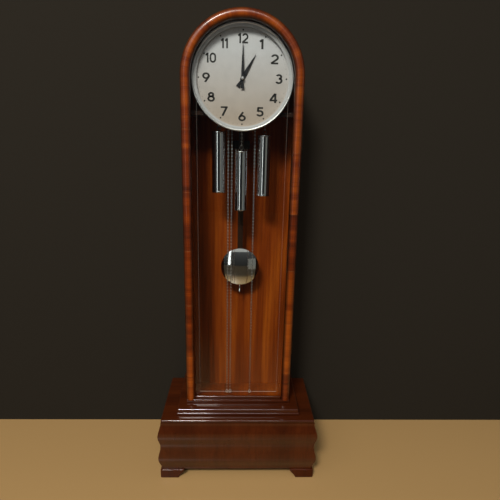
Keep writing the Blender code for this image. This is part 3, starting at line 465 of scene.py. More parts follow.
def make_lacquered_wood(
    name, stops, turn=(0, 0, 0), run=False, gloss=(0.26, 0.34), shine=0.12, coat=0.8, seed=0.0
):
    """Lacquered veneer; its fibres run along Z, along a turned axis, or along the piece's own run."""
    material, tree, shader, place = new_finish(name)
    if run:
        along = place_node(tree, "ShaderNodeAttribute", {"attribute_name": "run"}).outputs["Fac"]
        apart = place_node(tree, "ShaderNodeSeparateXYZ", Vector=place)
        place = place_node(
            tree, "ShaderNodeCombineXYZ", X=apart.outputs["Y"], Y=0.0, Z=along
        ).outputs["Vector"]
    turned_place = place_node(
        tree, "ShaderNodeMapping", Vector=place, Rotation=turn, Location=(seed, seed, seed)
    )
    figure = place_group(tree, WOOD_FIGURE, Vector=turned_place.outputs["Vector"])
    mixed = weighed_sum(tree, (figure.outputs["Tone"], figure.outputs["Streak"]), WOOD_SHARES)
    colour = shades(tree, mixed, stops)
    pores = shades(tree, figure.outputs["Pore"], PORE_GREYS)
    tree.links.new(tinted(tree, colour, pores, 1.0, "MULTIPLY"), shader.inputs["Base Color"])
    wear_in(tree, shader, place, scale=14.0, gloss=gloss)
    raise_surface(tree, shader, figure.outputs["Streak"], 0.00006)
    set_plain(shader, Coat_Weight=coat, Coat_Roughness=0.09, Specular_IOR_Level=shine)
    return material


def make_banded_veneer():
    """Cross-banded veneer on the door moulding: fibres run over it, in short lengths laid end to end; painted
    shade darkens it towards the edges of its round and along the right stile.
    """
    material, tree, shader, place = new_finish("banded_veneer")
    run = place_node(tree, "ShaderNodeAttribute", {"attribute_name": "run"}).outputs["Fac"]
    segments = place_group(tree, VENEER_SEGMENTS, Run=run, Length=SEGMENT_LENGTH)
    apart = place_node(tree, "ShaderNodeSeparateXYZ", Vector=place)
    laid = place_node(
        tree, "ShaderNodeCombineXYZ", X=sum_of(tree, "MULTIPLY", run, CROSS_FIGURE),
        Y=sum_of(tree, "MULTIPLY", segments.outputs["Tone"], SEGMENT_SHIFT), Z=apart.outputs["Y"],
    )
    figure = place_group(tree, WOOD_FIGURE, Vector=laid.outputs["Vector"])
    tones = (figure.outputs["Tone"], figure.outputs["Streak"], segments.outputs["Tone"])
    colour = shades(tree, weighed_sum(tree, tones, BANDED_SHARES), BANDED_TONES)
    joint_share = sum_of(tree, "MULTIPLY", segments.outputs["Joint"], JOINT_STRENGTH)
    joint = tinted(tree, colour, JOINT_COLOUR, joint_share)
    # Painted shade: the moulding darkens towards both edges of its round, most on the glass side
    across = place_node(tree, "ShaderNodeAttribute", {"attribute_name": "across"}).outputs["Fac"]
    edge = shades(tree, across, MOULDING_PAINTED_SHADE)
    shaped = tinted(tree, joint, edge, 1.0, "MULTIPLY")
    # Painted shade: the right side of the moulding is darker than the left
    along = place_node(tree, "ShaderNodeMapRange", Value=run, From_Min=0.0, From_Max=RUN_LENGTH)
    painted_side_shade = shades(tree, along.outputs["Result"], RIGHT_SIDE_PAINTED_SHADE)
    tree.links.new(tinted(tree, shaped, painted_side_shade, 1.0, "MULTIPLY"), shader.inputs["Base Color"])
    wear_in(tree, shader, place, scale=20.0, gloss=(0.30, 0.38))
    raise_surface(tree, shader, figure.outputs["Streak"], 0.00005)
    set_plain(shader, Coat_Weight=0.35, Coat_Roughness=0.12, Specular_IOR_Level=0.3)
    return material


def make_metal(name, colour, gloss, scale=60.0, tarnish=None):
    """Metal with faint smudges, and tarnish where it has any."""
    material, tree, shader, place = new_finish(name)
    stops = ((0.30, tarnish or tuple(0.93 * c for c in colour)), (0.62, colour))
    wear_in(tree, shader, place, scale, gloss, stops)
    set_plain(shader, Metallic=1.0)
    return material


def make_silvered_dial():
    """Matt silvered dial with the faint circular lines of its brushing, and a painted reflection: cool and
    brighter towards the top, warm and darker towards the bottom.
    """
    material, tree, shader, place = new_finish("silvered_dial")
    centred = place_node(tree, "ShaderNodeMapping", Vector=place, Location=(0.0, 0.0, -ARCH_Z))
    rings = place_node(
        tree, "ShaderNodeTexWave", {"wave_type": "RINGS", "rings_direction": "SPHERICAL"},
        Vector=centred.outputs["Vector"], Scale=420.0, Distortion=1.5, Detail=2.0,
    )
    smudge = wear_in(tree, shader, place, scale=38.0, gloss=(0.46, 0.56))
    # Painted reflection: the silver turns from warm and darker at the bottom to cool and brighter at the top
    height = place_node(tree, "ShaderNodeSeparateXYZ", Vector=centred.outputs["Vector"]).outputs["Z"]
    painted_reflection_height = place_node(tree, "ShaderNodeMapRange", Value=height, From_Min=-BEZEL_INNER, From_Max=BEZEL_INNER)
    silver = shades(tree, painted_reflection_height.outputs["Result"], SILVER_AND_PAINTED_REFLECTION)
    dulled = shades(tree, smudge, ((0.30, 0.92), (0.66, 1.0)))
    tree.links.new(tinted(tree, silver, dulled, 1.0, "MULTIPLY"), shader.inputs["Base Color"])
    raise_surface(tree, shader, rings.outputs["Fac"], 0.00001, 0.4)
    set_plain(shader, Metallic=0.12)
    return material


def make_enamel(name, colour, gloss):
    """Dark paint or print, a little uneven."""
    material, tree, shader, place = new_finish(name)
    stops = ((0.30, colour), (0.70, tuple(1.6 * c for c in colour)))
    wear_in(tree, shader, place, 90.0, gloss, stops)
    return material


def make_cast_iron():
    """Black cast iron with a grainy skin."""
    material, tree, shader, place = new_finish("cast_iron")
    stops = ((0.30, (0.016, 0.016, 0.017)), (0.70, (0.050, 0.049, 0.048)))
    grain = wear_in(tree, shader, place, 380.0, (0.45, 0.65), stops)
    raise_surface(tree, shader, grain, 0.0003)
    set_plain(shader, Metallic=0.5)
    return material


def make_glass():
    """Clear plate glass that lets lamp light through to what stands behind it."""
    material, tree, shader, place = new_finish("plate_glass")
    wear_in(tree, shader, place, scale=9.0, gloss=(0.0, 0.015))
    set_plain(shader, Base_Color=(0.965, 0.980, 0.972, 1.0), IOR=1.5, Transmission_Weight=1.0)
    clear = place_node(tree, "ShaderNodeBsdfTransparent", Color=(0.93, 0.95, 0.94, 1.0))
    path = tree.nodes.new("ShaderNodeLightPath")
    rays = ("Is Glossy Ray", "Is Diffuse Ray", "Is Shadow Ray")
    let_through(tree, shader, clear, [path.outputs[ray] for ray in rays])
    return material


def make_ground_edge(name, alpha):
    """A painted highlight: a pale, partly clear line where the bevel of the glass meets its flat, standing in
    for the glint along that edge.
    """
    material, tree, shader, place = new_finish(name)
    stops = ((0.30, (0.52, 0.53, 0.48)), (0.70, (0.74, 0.75, 0.68)))
    wear_in(tree, shader, place, 120.0, (0.25, 0.45), stops)
    set_plain(shader, Alpha=alpha)
    return material


DARK_RED = (
    (0.30, (0.028, 0.0048, 0.0007)), (0.50, (0.049, 0.0086, 0.0011)), (0.72, (0.078, 0.0150, 0.0020)),
)
ORANGE_BROWN = (
    (0.32, (0.080, 0.012, 0.0008)), (0.50, (0.210, 0.034, 0.0020)), (0.68, (0.360, 0.078, 0.0050)),
)
NEAR_BLACK = ((0.3, (0.010, 0.004, 0.002)), (0.7, (0.038, 0.015, 0.008)))
UPRIGHT_MAHOGANY = make_lacquered_wood("upright_mahogany", DARK_RED)
FOOT_MAHOGANY = make_lacquered_wood("foot_mahogany", DARK_RED, shine=0.08, coat=0.3, seed=4.4)
LEVEL_MAHOGANY = make_lacquered_wood(
    "level_mahogany", DARK_RED, turn=(0, -QUARTER, 0), gloss=(0.33, 0.40), shine=0.15, coat=1.0, seed=3.1
)
BENT_MAHOGANY = make_lacquered_wood("bent_mahogany", DARK_RED, run=True, seed=1.7)
BANDED_VENEER = make_banded_veneer()
BACK_VENEER = make_lacquered_wood(
    "back_veneer", ORANGE_BROWN, gloss=(0.36, 0.50), shine=0.1, coat=0.0, seed=5.3
)
FLOOR_VENEER = make_lacquered_wood(
    "floor_veneer", ORANGE_BROWN, turn=(QUARTER, 0, 0), gloss=(0.32, 0.46), shine=0.1, coat=0.05, seed=2.2
)
DARK_STICK = make_lacquered_wood("dark_stick", NEAR_BLACK, gloss=(0.3, 0.42), shine=0.3, coat=0.2)
GLASS = make_glass()
LOW_GLINT = make_ground_edge("low_painted_glint", LOW_GLINT_ALPHA)
SIDE_GLINT = make_ground_edge("side_painted_glint", SIDE_GLINT_ALPHA)
CHROME = make_metal("polished_chrome", (0.80, 0.80, 0.805), (0.035, 0.085))
SATIN_CHROME = make_metal("satin_chrome", (0.47, 0.47, 0.485), (0.58, 0.68))
BRIGHT_RIM = make_metal("bright_rim", (0.70, 0.70, 0.71), (0.36, 0.44))
BRONZED_STEEL = make_metal("bronzed_steel", (0.10, 0.075, 0.050), (0.30, 0.45), 150.0, (0.045, 0.035, 0.026))
NICKEL = make_metal("nickelled_steel", (0.93, 0.92, 0.90), (0.40, 0.52), 220.0, (0.74, 0.72, 0.68))
# Dark nickel for the weight hooks, and painted shade on the bent ends of the chain links
DARK_NICKEL_AND_LINK_SHADE = make_metal("dark_nickel_and_link_shade", (0.10, 0.095, 0.09), (0.50, 0.60), 220.0, (0.06, 0.055, 0.05))
BRASS = make_metal("clock_brass", (0.70, 0.48, 0.19), (0.22, 0.38), 70.0, (0.52, 0.33, 0.12))
SILVERED_DIAL = make_silvered_dial()
GUNMETAL = make_enamel("gunmetal_hands", (0.016, 0.016, 0.019), (0.24, 0.34))
DIAL_PRINT = make_enamel("dial_print", (0.007, 0.0065, 0.006), (0.42, 0.52))
CAST_IRON = make_cast_iron()


# Shaping

def finished(name, bm, finish, body, stands_for=(), sharp=SMOOTH_ANGLE, flat_faces=False):
    """A piece from its edit mesh: closed, smooth where it is round, riding on its body."""
    bmesh.ops.remove_doubles(bm, verts=bm.verts, dist=WELD)
    bmesh.ops.recalc_face_normals(bm, faces=bm.faces)
    mesh = mesh_of(bm, name)
    mesh.materials.append(finish)
    mesh.shade_smooth()
    mesh.set_sharp_from_angle(angle=sharp)
    piece = bpy.data.objects.new(name, mesh)
    scene.collection.objects.link(piece)
    if flat_faces:
        piece.modifiers.new("flat_faces", "WEIGHTED_NORMAL").keep_sharp = True
    if body:
        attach(piece, body)
    if stands_for:
        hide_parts(*stands_for)
    return piece


def set_measure(piece, name, measure):
    """Write a distance at each point of a piece, for a finish that follows its shape."""
    attribute = piece.data.attributes.new(name, "FLOAT", "POINT")
    attribute.data.foreach_set("value", [measure(vertex.co) for vertex in piece.data.vertices])


def points_of(made):
    """The points among what an operator made."""
    return [item for item in made if isinstance(item, bmesh.types.BMVert)]


def edges_of(made):
    """The edges among what an operator made."""
    return [item for item in made if isinstance(item, bmesh.types.BMEdge)]


def all_of(bm):
    """Everything in an edit mesh."""
    return bm.verts[:] + bm.edges[:] + bm.faces[:]


def mesh_of(bm, name):
    """A mesh from an edit mesh that isn't needed any more."""
    mesh = bpy.data.meshes.new(name)
    bm.to_mesh(mesh)
    bm.free()
    return mesh


def join(bm, mesh):
    """Add a mesh to an edit mesh and let go of it."""
    bm.from_mesh(mesh)
    bpy.data.meshes.remove(mesh)


def draw_face(bm, points):
    """A flat face through points."""
    return bm.faces.new([bm.verts.new(point) for point in points])


def extrude_face(bm, face, reach):
    """Thicken a face into a solid along a vector."""
    raised = bmesh.ops.extrude_face_region(bm, geom=[face], use_keep_orig=True)["geom"]
    bmesh.ops.translate(bm, verts=points_of(raised), vec=reach)
    return [item for item in raised if isinstance(item, bmesh.types.BMFace)]


def round_edges(bm, edges, rounding, segments):
    """Round some edges of a solid."""
    bmesh.ops.bevel(
        bm, geom=edges, offset=rounding, segments=segments, profile=0.5, affect="EDGES", material=-1
    )


def add_box(bm, low, high, rounding, segments, edges=None):
    """A box between two corners with rounded edges, all of them or those that a test picks."""
    low, high = Vector(low), Vector(high)
    size = high - low
    shape = Matrix.Translation((low + high) / 2) @ Matrix.Diagonal((*size, 1.0))
    made = bmesh.ops.create_cube(bm, size=1.0, matrix=shape)["verts"]
    picked = {edge for vertex in made for edge in vertex.link_edges}
    if edges:
        picked = {edge for edge in picked if edges(edge)}
    round_edges(bm, list(picked), rounding, segments)


def add_turned(bm, profile, steps, place, closed=False):
    """A shape turned about Z from (radius, height) points, then put in its place."""
    points = [bm.verts.new((radius, 0, height)) for radius, height in profile]
    pairs = list(zip(points, points[1:]))
    if closed:
        pairs.append((points[-1], points[0]))
    edges = [bm.edges.new(pair) for pair in pairs]
    bmesh.ops.spin(
        bm, geom=points + edges, cent=(0, 0, 0), axis=(0, 0, 1), angle=2 * math.pi, steps=steps,
        use_merge=True,
    )
    made = [vertex for vertex in bm.verts if vertex.tag is False]
    bmesh.ops.transform(bm, matrix=place, verts=made)
    for vertex in made:
        vertex.tag = True


def arc(radius, start, end, steps, centre=(0.0, 0.0)):
    """Points on an arc, both ends included."""
    turns = [start + (end - start) * i / steps for i in range(steps + 1)]
    return [(centre[0] + radius * math.cos(t), centre[1] + radius * math.sin(t)) for t in turns]


def rounded_profile(profile, radius, steps):
    """A turned profile whose corners between its ends are rounded."""
    result = [profile[0]]
    for before, corner, after in zip(profile, profile[1:], profile[2:]):
        here = Vector(corner)
        into, out = Vector(before) - here, Vector(after) - here
        reach = min(radius, into.length / 2, out.length / 2)
        start, end = here + into.normalized() * reach, here + out.normalized() * reach
        for i in range(steps + 1):
            share = i / steps
            result.append(tuple((1 - share) ** 2 * start + 2 * share * (1 - share) * here + share ** 2 * end))
    return result + [profile[-1]]


# Base

SWELL_LOW_Z, SWELL_HIGH_Z = panel_low.z, panel_high.z
BASE_HALF_WIDTH, BASE_FRONT_Y, BASE_BACK_Y = board_high.x, board_low.y, board_high.y


def swelled_section():
    """Section of a base panel as distance out from its top edge and height."""
    heights = [SWELL_LOW_Z + (SWELL_HIGH_Z - SWELL_LOW_Z) * i / SWELL_POINTS for i in range(SWELL_POINTS + 1)]
    face = []
    for z in heights:
        share = (z - SWELL_LOW_Z) / (SWELL_HIGH_Z - SWELL_LOW_Z)
        out = SWELL * math.sin(2 * math.pi * share) ** 2 + WAIST * math.sin(math.pi * share) ** 2
        face.append((out, z))
    return face + [(-BASE_WALL, SWELL_HIGH_Z), (-BASE_WALL, SWELL_LOW_Z)]


def mitre(bm, corner, outwards):
    """Cut a panel along the mitre through a corner, and close the cut."""
    cut = bmesh.ops.bisect_plane(
        bm, geom=all_of(bm), plane_co=corner, plane_no=outwards, clear_outer=True
    )
    bmesh.ops.edgeloop_fill(bm, edges=edges_of(cut["geom_cut"]))


def make_base_panels():
    section = swelled_section()
    bm = bmesh.new()
    reach = BASE_HALF_WIDTH + MITRE_SPARE
    face = draw_face(bm, [(-reach, BASE_FRONT_Y - out, z) for out, z in section])
    extrude_face(bm, face, (2 * reach, 0, 0))
    for side in (-1, 1):
        mitre(bm, (side * BASE_HALF_WIDTH, BASE_FRONT_Y, 0), (side, 1, 0))
    finished("swelled_front", bm, UPRIGHT_MAHOGANY, "case", ["base_front"])
    for side, word in ((-1, "left"), (1, "right")):
        bm = bmesh.new()
        face = draw_face(bm, [(side * (BASE_HALF_WIDTH + out), BASE_BACK_Y, z) for out, z in section])
        extrude_face(bm, face, (0, BASE_FRONT_Y - MITRE_SPARE - BASE_BACK_Y, 0))
        mitre(bm, (side * BASE_HALF_WIDTH, BASE_FRONT_Y, 0), (-side, -1, 0))
        finished(f"swelled_side_{word}", bm, UPRIGHT_MAHOGANY, "case", [f"base_side_{word}"])


def make_base_board():
    bm = bmesh.new()
    add_box(bm, board_low, board_high, BOARD_ROUNDING, MANY_SEGMENTS)
    finished("base_top", bm, LEVEL_MAHOGANY, "case", ["base_top_board"])


def foot_face():
    """Face of a bracket foot as distance from its corner and height, with an ogee inner edge."""
    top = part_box("foot_front_left")[1].z
    shares = [i / FOOT_CURVE_POINTS for i in range(FOOT_CURVE_POINTS + 1)]
    edge = [(FOOT_REACH + FOOT_FLARE * (1 - math.cos(math.pi * s)) / 2, top * s) for s in shares]
    return [(0, 0)] + edge + [(0, top)]


def make_feet():
    """Bracket feet, each two faces mitred together at its corner."""
    for depth in ("front", "back"):
        for word, side in (("left", -1), ("right", 1)):
            low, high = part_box(f"foot_{depth}_{word}")
            corner = Vector((high.x if side > 0 else low.x, low.y if depth == "front" else high.y, 0))
            into_x, into_y = -side, 1 if depth == "front" else -1
            bm = bmesh.new()
            across, back = Vector((into_x, 0, 0)), Vector((0, into_y, 0))
            for along, inwards in ((across, back), (back, across)):
                leg = bmesh.new()
                face = draw_face(leg, [corner + along * u + Vector((0, 0, z)) for u, z in foot_face()])
                extrude_face(leg, face, inwards * FOOT_WALL)
                bmesh.ops.bisect_plane(
                    leg, geom=all_of(leg), plane_co=corner, plane_no=inwards - along, clear_outer=True
                )
                join(bm, mesh_of(leg, "leg"))
            bmesh.ops.remove_doubles(bm, verts=bm.verts, dist=WELD)
            closed = [edge for edge in bm.edges if edge.is_manifold]
            sharp = [edge for edge in closed if edge.calc_face_angle(0) > FOOT_EDGE_ANGLE]
            bmesh.ops.recalc_face_normals(bm, faces=bm.faces)
            round_edges(bm, sharp, FOOT_ROUNDING, FEW_SEGMENTS)
            name = f"foot_{depth}_{word}"
            finished(f"bracket_{name}", bm, FOOT_MAHOGANY, "case", [name], flat_faces=True)


def make_plinth():
    bm = bmesh.new()
    step_high = (plinth_high.x, plinth_high.y, PLINTH_STEP_Z)
    add_box(bm, plinth_low, step_high, BEAD_ROUNDING, MANY_SEGMENTS)
    upper_low = (plinth_low.x + PLINTH_BEAD, plinth_low.y + PLINTH_BEAD, PLINTH_STEP_Z)
    upper_high = (plinth_high.x - PLINTH_BEAD, plinth_high.y, plinth_high.z)
    add_box(bm, upper_low, upper_high, PLINTH_ROUNDING, PLINTH_SEGMENTS, above_step)
    finished("stepped_plinth", bm, LEVEL_MAHOGANY, "case", ["upper_plinth"])


def above_step(edge):
    """True for the edges of the upper plinth that don't lie on the step."""
    return any(abs(vertex.co.z - PLINTH_STEP_Z) >= WELD for vertex in edge.verts)


# Case

def make_case():
    for word in ("left", "right"):
        bm = bmesh.new()
        add_box(bm, *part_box(f"case_side_{word}"), EDGE_ROUNDING, FEW_SEGMENTS)
        finished(f"case_wall_{word}", bm, UPRIGHT_MAHOGANY, "case", [f"case_side_{word}"])
    bm = bmesh.new()
    inner = arch_high.x - CASE_WALL
    face = draw_face(bm, [
        (inner, arch_low.y, ARCH_Z), (arch_high.x, arch_low.y, ARCH_Z),
        (arch_high.x, arch_high.y, ARCH_Z), (inner, arch_high.y, ARCH_Z),
    ])
    spin_half(bm, face)
    arch = finished("case_bend", bm, BENT_MAHOGANY, "case", ["case_arch"])
    set_measure(arch, "run", arch_run)


def make_case_floor():
    """Thin veneered board that closes the case above the plinth."""
    half = arch_high.x - CASE_WALL - CLEARANCE
    low = (-half, arch_low.y, plinth_high.z + CLEARANCE)
    high = (half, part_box("back_board")[0].y - CLEARANCE, plinth_high.z + CASE_FLOOR)
    bm = bmesh.new()
    add_box(bm, low, high, EDGE_ROUNDING, FEW_SEGMENTS)
    finished("case_floor", bm, FLOOR_VENEER, "case")


def spin_half(bm, face):
    """Turn a section over the top of the arch, from right to left."""
    bmesh.ops.spin(
        bm, geom=[face, *face.edges, *face.verts], cent=(0, 0, ARCH_Z), axis=(0, -1, 0), angle=math.pi,
        steps=ARCH_STEPS, use_merge=False,
    )


def arch_run(place):
    """Distance from the floor up the right stile and over the arch, at the moulding's middle."""
    middle = (stile_low.x + stile_high.x) / 2
    return ARCH_Z + middle * math.atan2(place.z - ARCH_Z, place.x)


# Door

def moulding_section():
    """Half-round moulding with its glass rebate, as distance from the door's middle and depth y."""
    inner, outer = stile_low.x, stile_high.x
    middle, half = (inner + outer) / 2, (outer - inner) / 2
    crown = MOULDING_SHOULDER_Y - stile_low.y
    face = [
        (middle + x * half, MOULDING_SHOULDER_Y - y * crown) for x, y in arc(1, math.pi, 0, MOULDING_STEPS)
    ]
    back = stile_high.y
    step = inner + GLASS_REBATE
    return face + [(outer, back), (step, back), (step, GLASS_REBATE_Y), (inner, GLASS_REBATE_Y)]


def moulding_share(reach):
    """How far over the moulding a point lies, from 0 at the glass to 1 at the outside."""
    return (reach - stile_low.x) / (stile_high.x - stile_low.x)


def make_door_moulding():
    section = moulding_section()
    for word, side in (("left", -1), ("right", 1)):
        solid = f"door_stile_{word}"
        low_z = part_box(solid)[0].z
        bm = bmesh.new()
        face = draw_face(bm, [(side * reach, y, low_z) for reach, y in section])
        extrude_face(bm, face, (0, 0, ARCH_Z - low_z))
        stile = finished(f"moulded_stile_{word}", bm, BANDED_VENEER, "door", [solid])
        offset = 0.0 if side > 0 else LEFT_STILE_RUN
        set_measure(stile, "run", lambda place, shift=offset: place.z + shift)
        set_measure(stile, "across", lambda place: moulding_share(abs(place.x)))
    bm = bmesh.new()
    face = draw_face(bm, [(reach, y, ARCH_Z) for reach, y in section])
    spin_half(bm, face)
    arch = finished("moulded_arch", bm, BANDED_VENEER, "door", ["door_arch"])
    set_measure(arch, "run", arch_run)
    set_measure(arch, "across", lambda place: moulding_share(math.hypot(place.x, place.z - ARCH_Z)))


def make_door_rail():
    bm = bmesh.new()
    body_high = (rail_high.x, rail_high.y, RAIL_BODY_TOP_Z)
    add_box(bm, rail_low, body_high, RAIL_ROUNDING, SOME_SEGMENTS)
    lip = stile_low.x - CLEARANCE
    lip_low, lip_high = (-lip, RAIL_LIP_Y, RAIL_BODY_TOP_Z), (lip, GLASS_REBATE_Y, rail_high.z)
    add_box(bm, lip_low, lip_high, LIP_ROUNDING, MANY_SEGMENTS)
    finished("moulded_rail", bm, LEVEL_MAHOGANY, "door", ["door_bottom_rail"])


def make_door_glass():
    """Arched plate with a wide bevel round its front, and a painted highlight line where the bevel meets the
    flat, stronger along the bottom than up the sides.
    """
    half = glass_high.x
    outline = [(-half, glass_low.z), (half, glass_low.z)] + arc(half, 0, math.pi, ARCH_STEPS, (0, ARCH_Z))
    bm = bmesh.new()
    face = draw_face(bm, [(x, glass_high.y, z) for x, z in outline])
    front = extrude_face(bm, face, (0, -GLASS_EDGE, 0))
    bmesh.ops.recalc_face_normals(bm, faces=bm.faces)
    rise = glass_high.y - glass_low.y - GLASS_EDGE
    bmesh.ops.inset_region(
        bm, faces=front, thickness=GLASS_BEVEL - GLINT_LINE_WIDTH, depth=rise, use_even_offset=True
    )
    line = bmesh.ops.inset_region(bm, faces=front, thickness=GLINT_LINE_WIDTH, use_even_offset=True)
    for face in line["faces"]:
        # Painted highlight: stronger on the bottom run of the line than up its sides
        face.material_index = 1 if face.calc_center_median().z < glass_low.z + GLASS_BEVEL else 2
    pane = finished("bevelled_glass", bm, GLASS, "door", ["door_glass"], sharp=GLASS_SHARP_ANGLE)
    pane.data.materials.append(LOW_GLINT)
    pane.data.materials.append(SIDE_GLINT)


# Dial

def make_dial():
    bm = bmesh.new()
    front, radius = -dial_low.y, dial_high.x
    plate = [(DIAL_HOLE, front), (radius, front), (radius, DIAL_BACK), (DIAL_HOLE, DIAL_BACK)]
    add_turned(bm, plate, DIAL_STEPS, DIAL_PLACE, True)
    finished("silvered_plate", bm, SILVERED_DIAL, "case", ["dial_plate"])
    bm = bmesh.new()
    outer, inner = bezel_high.x, BEZEL_INNER
    crest, back = -bezel_low.y, -bezel_high.y
    low = front + CLEARANCE
    slope = [(inner, low), (inner, crest - BEZEL_SLOPE), (outer - BEZEL_GROOVE, crest - BEZEL_GROOVE_DROP)]
    rim = arc(BEZEL_RIM, math.pi, 0, BEZEL_RIM_STEPS, (outer - BEZEL_RIM, crest - BEZEL_RIM))
    skirt = [(outer, back), (radius + BEZEL_SLACK, back), (radius + BEZEL_SLACK, low)]
    add_turned(bm, slope + rim + skirt, BEZEL_STEPS, DIAL_PLACE, True)
    for face in bm.faces:
        middle = face.calc_center_median()
        face.material_index = 1 if math.hypot(middle.x, middle.z - ARCH_Z) > outer - BEZEL_GROOVE else 0
    ring = finished("chrome_bezel", bm, SATIN_CHROME, "case", ["bezel"])
    ring.data.materials.append(BRIGHT_RIM)


def pen_stroke(bm, start, heading, moves):
    """One stroke of a numeral: the pen's edge pushed along lines and swung round arcs."""
    place, angle = Vector((*start, 0.0)), math.radians(heading)
    across = Vector((-math.sin(angle), math.cos(angle), 0.0)) * NUMERAL_STROKE / 2
    nib = bm.edges.new((bm.verts.new(place + across), bm.verts.new(place - across)))
    for size, turn in moves:
        left = Vector((-math.sin(angle), math.cos(angle), 0.0))
        if turn:
            bend = math.radians(turn)
            centre = place + left * math.copysign(size, bend)
            steps = max(PEN_FEWEST_STEPS, round(abs(turn) / PEN_STEP_DEGREES))
            made = bmesh.ops.spin(
                bm, geom=[nib, *nib.verts], cent=centre, axis=(0, 0, 1), angle=bend, steps=steps
            )["geom_last"]
            place = centre + Matrix.Rotation(bend, 3, "Z") @ (place - centre)
            angle += bend
        else:
            ahead = Vector((math.cos(angle), math.sin(angle), 0.0)) * size
            made = bmesh.ops.extrude_edge_only(bm, edges=[nib])["geom"]
            bmesh.ops.translate(bm, verts=points_of(made), vec=ahead)
            place += ahead
        nib = edges_of(made)[0]


def numeral_mesh(number):
    """A numeral centred on the origin at the dial's numeral height, thick enough to be print."""
    bm = bmesh.new()
    pen_x = 0.0
    for digit in number:
        width, strokes = NUMERALS[digit]
        for (x, y), heading, moves in strokes:
            pen_stroke(bm, (pen_x + x, y), heading, moves)
        pen_x += width + NUMERAL_GAP
    raised = bmesh.ops.extrude_face_region(bm, geom=bm.faces[:], use_keep_orig=True)["geom"]
    bmesh.ops.translate(bm, verts=points_of(raised), vec=(0, 0, 1))
    middle = Vector(((pen_x - NUMERAL_GAP) / 2, 0.5, 0.5))
    size = Matrix.Diagonal((NUMERAL_HEIGHT * NUMERAL_WIDENING[len(number)], NUMERAL_HEIGHT, PRINT_DEPTH, 1.0))
    bmesh.ops.transform(bm, matrix=size @ Matrix.Translation(-middle), verts=bm.verts)
    return mesh_of(bm, "numeral")


def hour_place(hour, ring):
    """Where an hour stands on a ring of the dial."""
    turn = math.radians(90 - 30 * hour)
    return Vector((ring * math.cos(turn), DIAL_FRONT_Y - PRINT_DEPTH / 2, ARCH_Z + ring * math.sin(turn)))


def make_dial_print():
    bm = bmesh.new()
    for hour in range(1, 13):
        mesh = numeral_mesh(str(hour))
        mesh.transform(Matrix.Translation(hour_place(hour, NUMERAL_RADIUS)) @ FACING_FRONT)
        join(bm, mesh)
    finished("dial_numerals", bm, DIAL_PRINT, "case")
    bm = bmesh.new()
    for minute in range(60):
        radius, sides = HOUR_DOT if minute % 5 == 0 else MINUTE_DOT
        place = Matrix.Translation(hour_place(minute / 5, HOUR_DOT_RING)) @ FACING_FRONT
        bmesh.ops.create_cone(
            bm, cap_ends=True, segments=sides, radius1=radius, radius2=radius, depth=PRINT_DEPTH, matrix=place
        )
    finished("dial_dots", bm, DIAL_PRINT, "case")


def make_hands():
    for name, stations, body in (("hour_hand", HOUR_HAND, "hour"), ("minute_hand", MINUTE_HAND, "minute")):
        low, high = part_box(name)
        bm = bmesh.new()
        outline = [(w, d) for d, w in stations] + [(-w, d) for d, w in reversed(stations)]
        face = draw_face(bm, [(x, 0, z) for x, z in outline])
        front = extrude_face(bm, face, (0, -(high.y - low.y), 0))
        bmesh.ops.recalc_face_normals(bm, faces=bm.faces)
        bmesh.ops.inset_region(bm, faces=front, thickness=HAND_INSET, depth=HAND_CROWN, use_even_offset=True)
        place = Matrix.Translation((0, high.y, ARCH_Z)) @ Matrix.Rotation(HAND_TURNS[name], 4, "Y")
        bmesh.ops.transform(bm, matrix=place, verts=bm.verts)
        finished(f"shaped_{name}", bm, GUNMETAL, body, [name], sharp=HAND_SHARP_ANGLE)
    low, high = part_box("hand_nut")
    front, back = -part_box("centre_arbor")[0].y + NUT_COVER, -high.y
    radius = high.x
    bm = bmesh.new()
    shoulder = -low.y - NUT_DROP
    profile = [(0, front), (NUT_CROWN * radius, front), (radius, shoulder), (radius, back), (0, back)]
    add_turned(bm, rounded_profile(profile, NUT_ROUNDING, MANY_SEGMENTS), NUT_STEPS, DIAL_PLACE)
    finished("turned_hand_nut", bm, SATIN_CHROME, "minute", ["hand_nut"])


# Weights and chains

def weight_facts(word):
    """Middle of a weight's top, and its radius."""
    low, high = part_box(f"weight_{word}")
    return Vector(((low.x + high.x) / 2, (low.y + high.y) / 2, low.z + WEIGHT_LENGTH)), (high.x - low.x) / 2


def make_weight(word):
    top, radius = weight_facts(word)
    body, low = radius - CAP_LEDGE, -WEIGHT_LENGTH
    profile = [
        (0, 0), (radius, 0), (radius, -CAP_DEPTH), (body, -CAP_DEPTH - CAP_SLOPE),
        (body, low + CAP_DEPTH + CAP_SLOPE), (radius, low + CAP_DEPTH), (radius, low), (0, low),
    ]
    bm = bmesh.new()
    place = Matrix.Translation(top)
    add_turned(bm, rounded_profile(profile, CAP_ROUNDING, SOME_SEGMENTS), WEIGHT_STEPS, place)
    slim, middle, wide = NECK_RADII
    neck = [(0, HOOK_LIFT), (slim, HOOK_LIFT), (middle, NECK_SHOULDER), (wide, 0.0), (0, 0.0)]
    add_turned(bm, neck, NECK_STEPS, place)
    finished(f"chrome_weight_{word}", bm, CHROME, f"weight_{word}", [f"weight_{word}"])
    bm = bmesh.new()
    ring = arc(HOOK_WIRE, 0, 2 * math.pi, HOOK_SIDES, (HOOK_RADIUS, 0))[:-1]
    place = Matrix.Translation(top + Vector((0, 0, HOOK_LIFT + HOOK_RADIUS))) @ FACING_FRONT
    add_turned(bm, ring, HOOK_STEPS, place, True)
    finished(f"weight_hook_{word}", bm, DARK_NICKEL_AND_LINK_SHADE, f"weight_{word}")


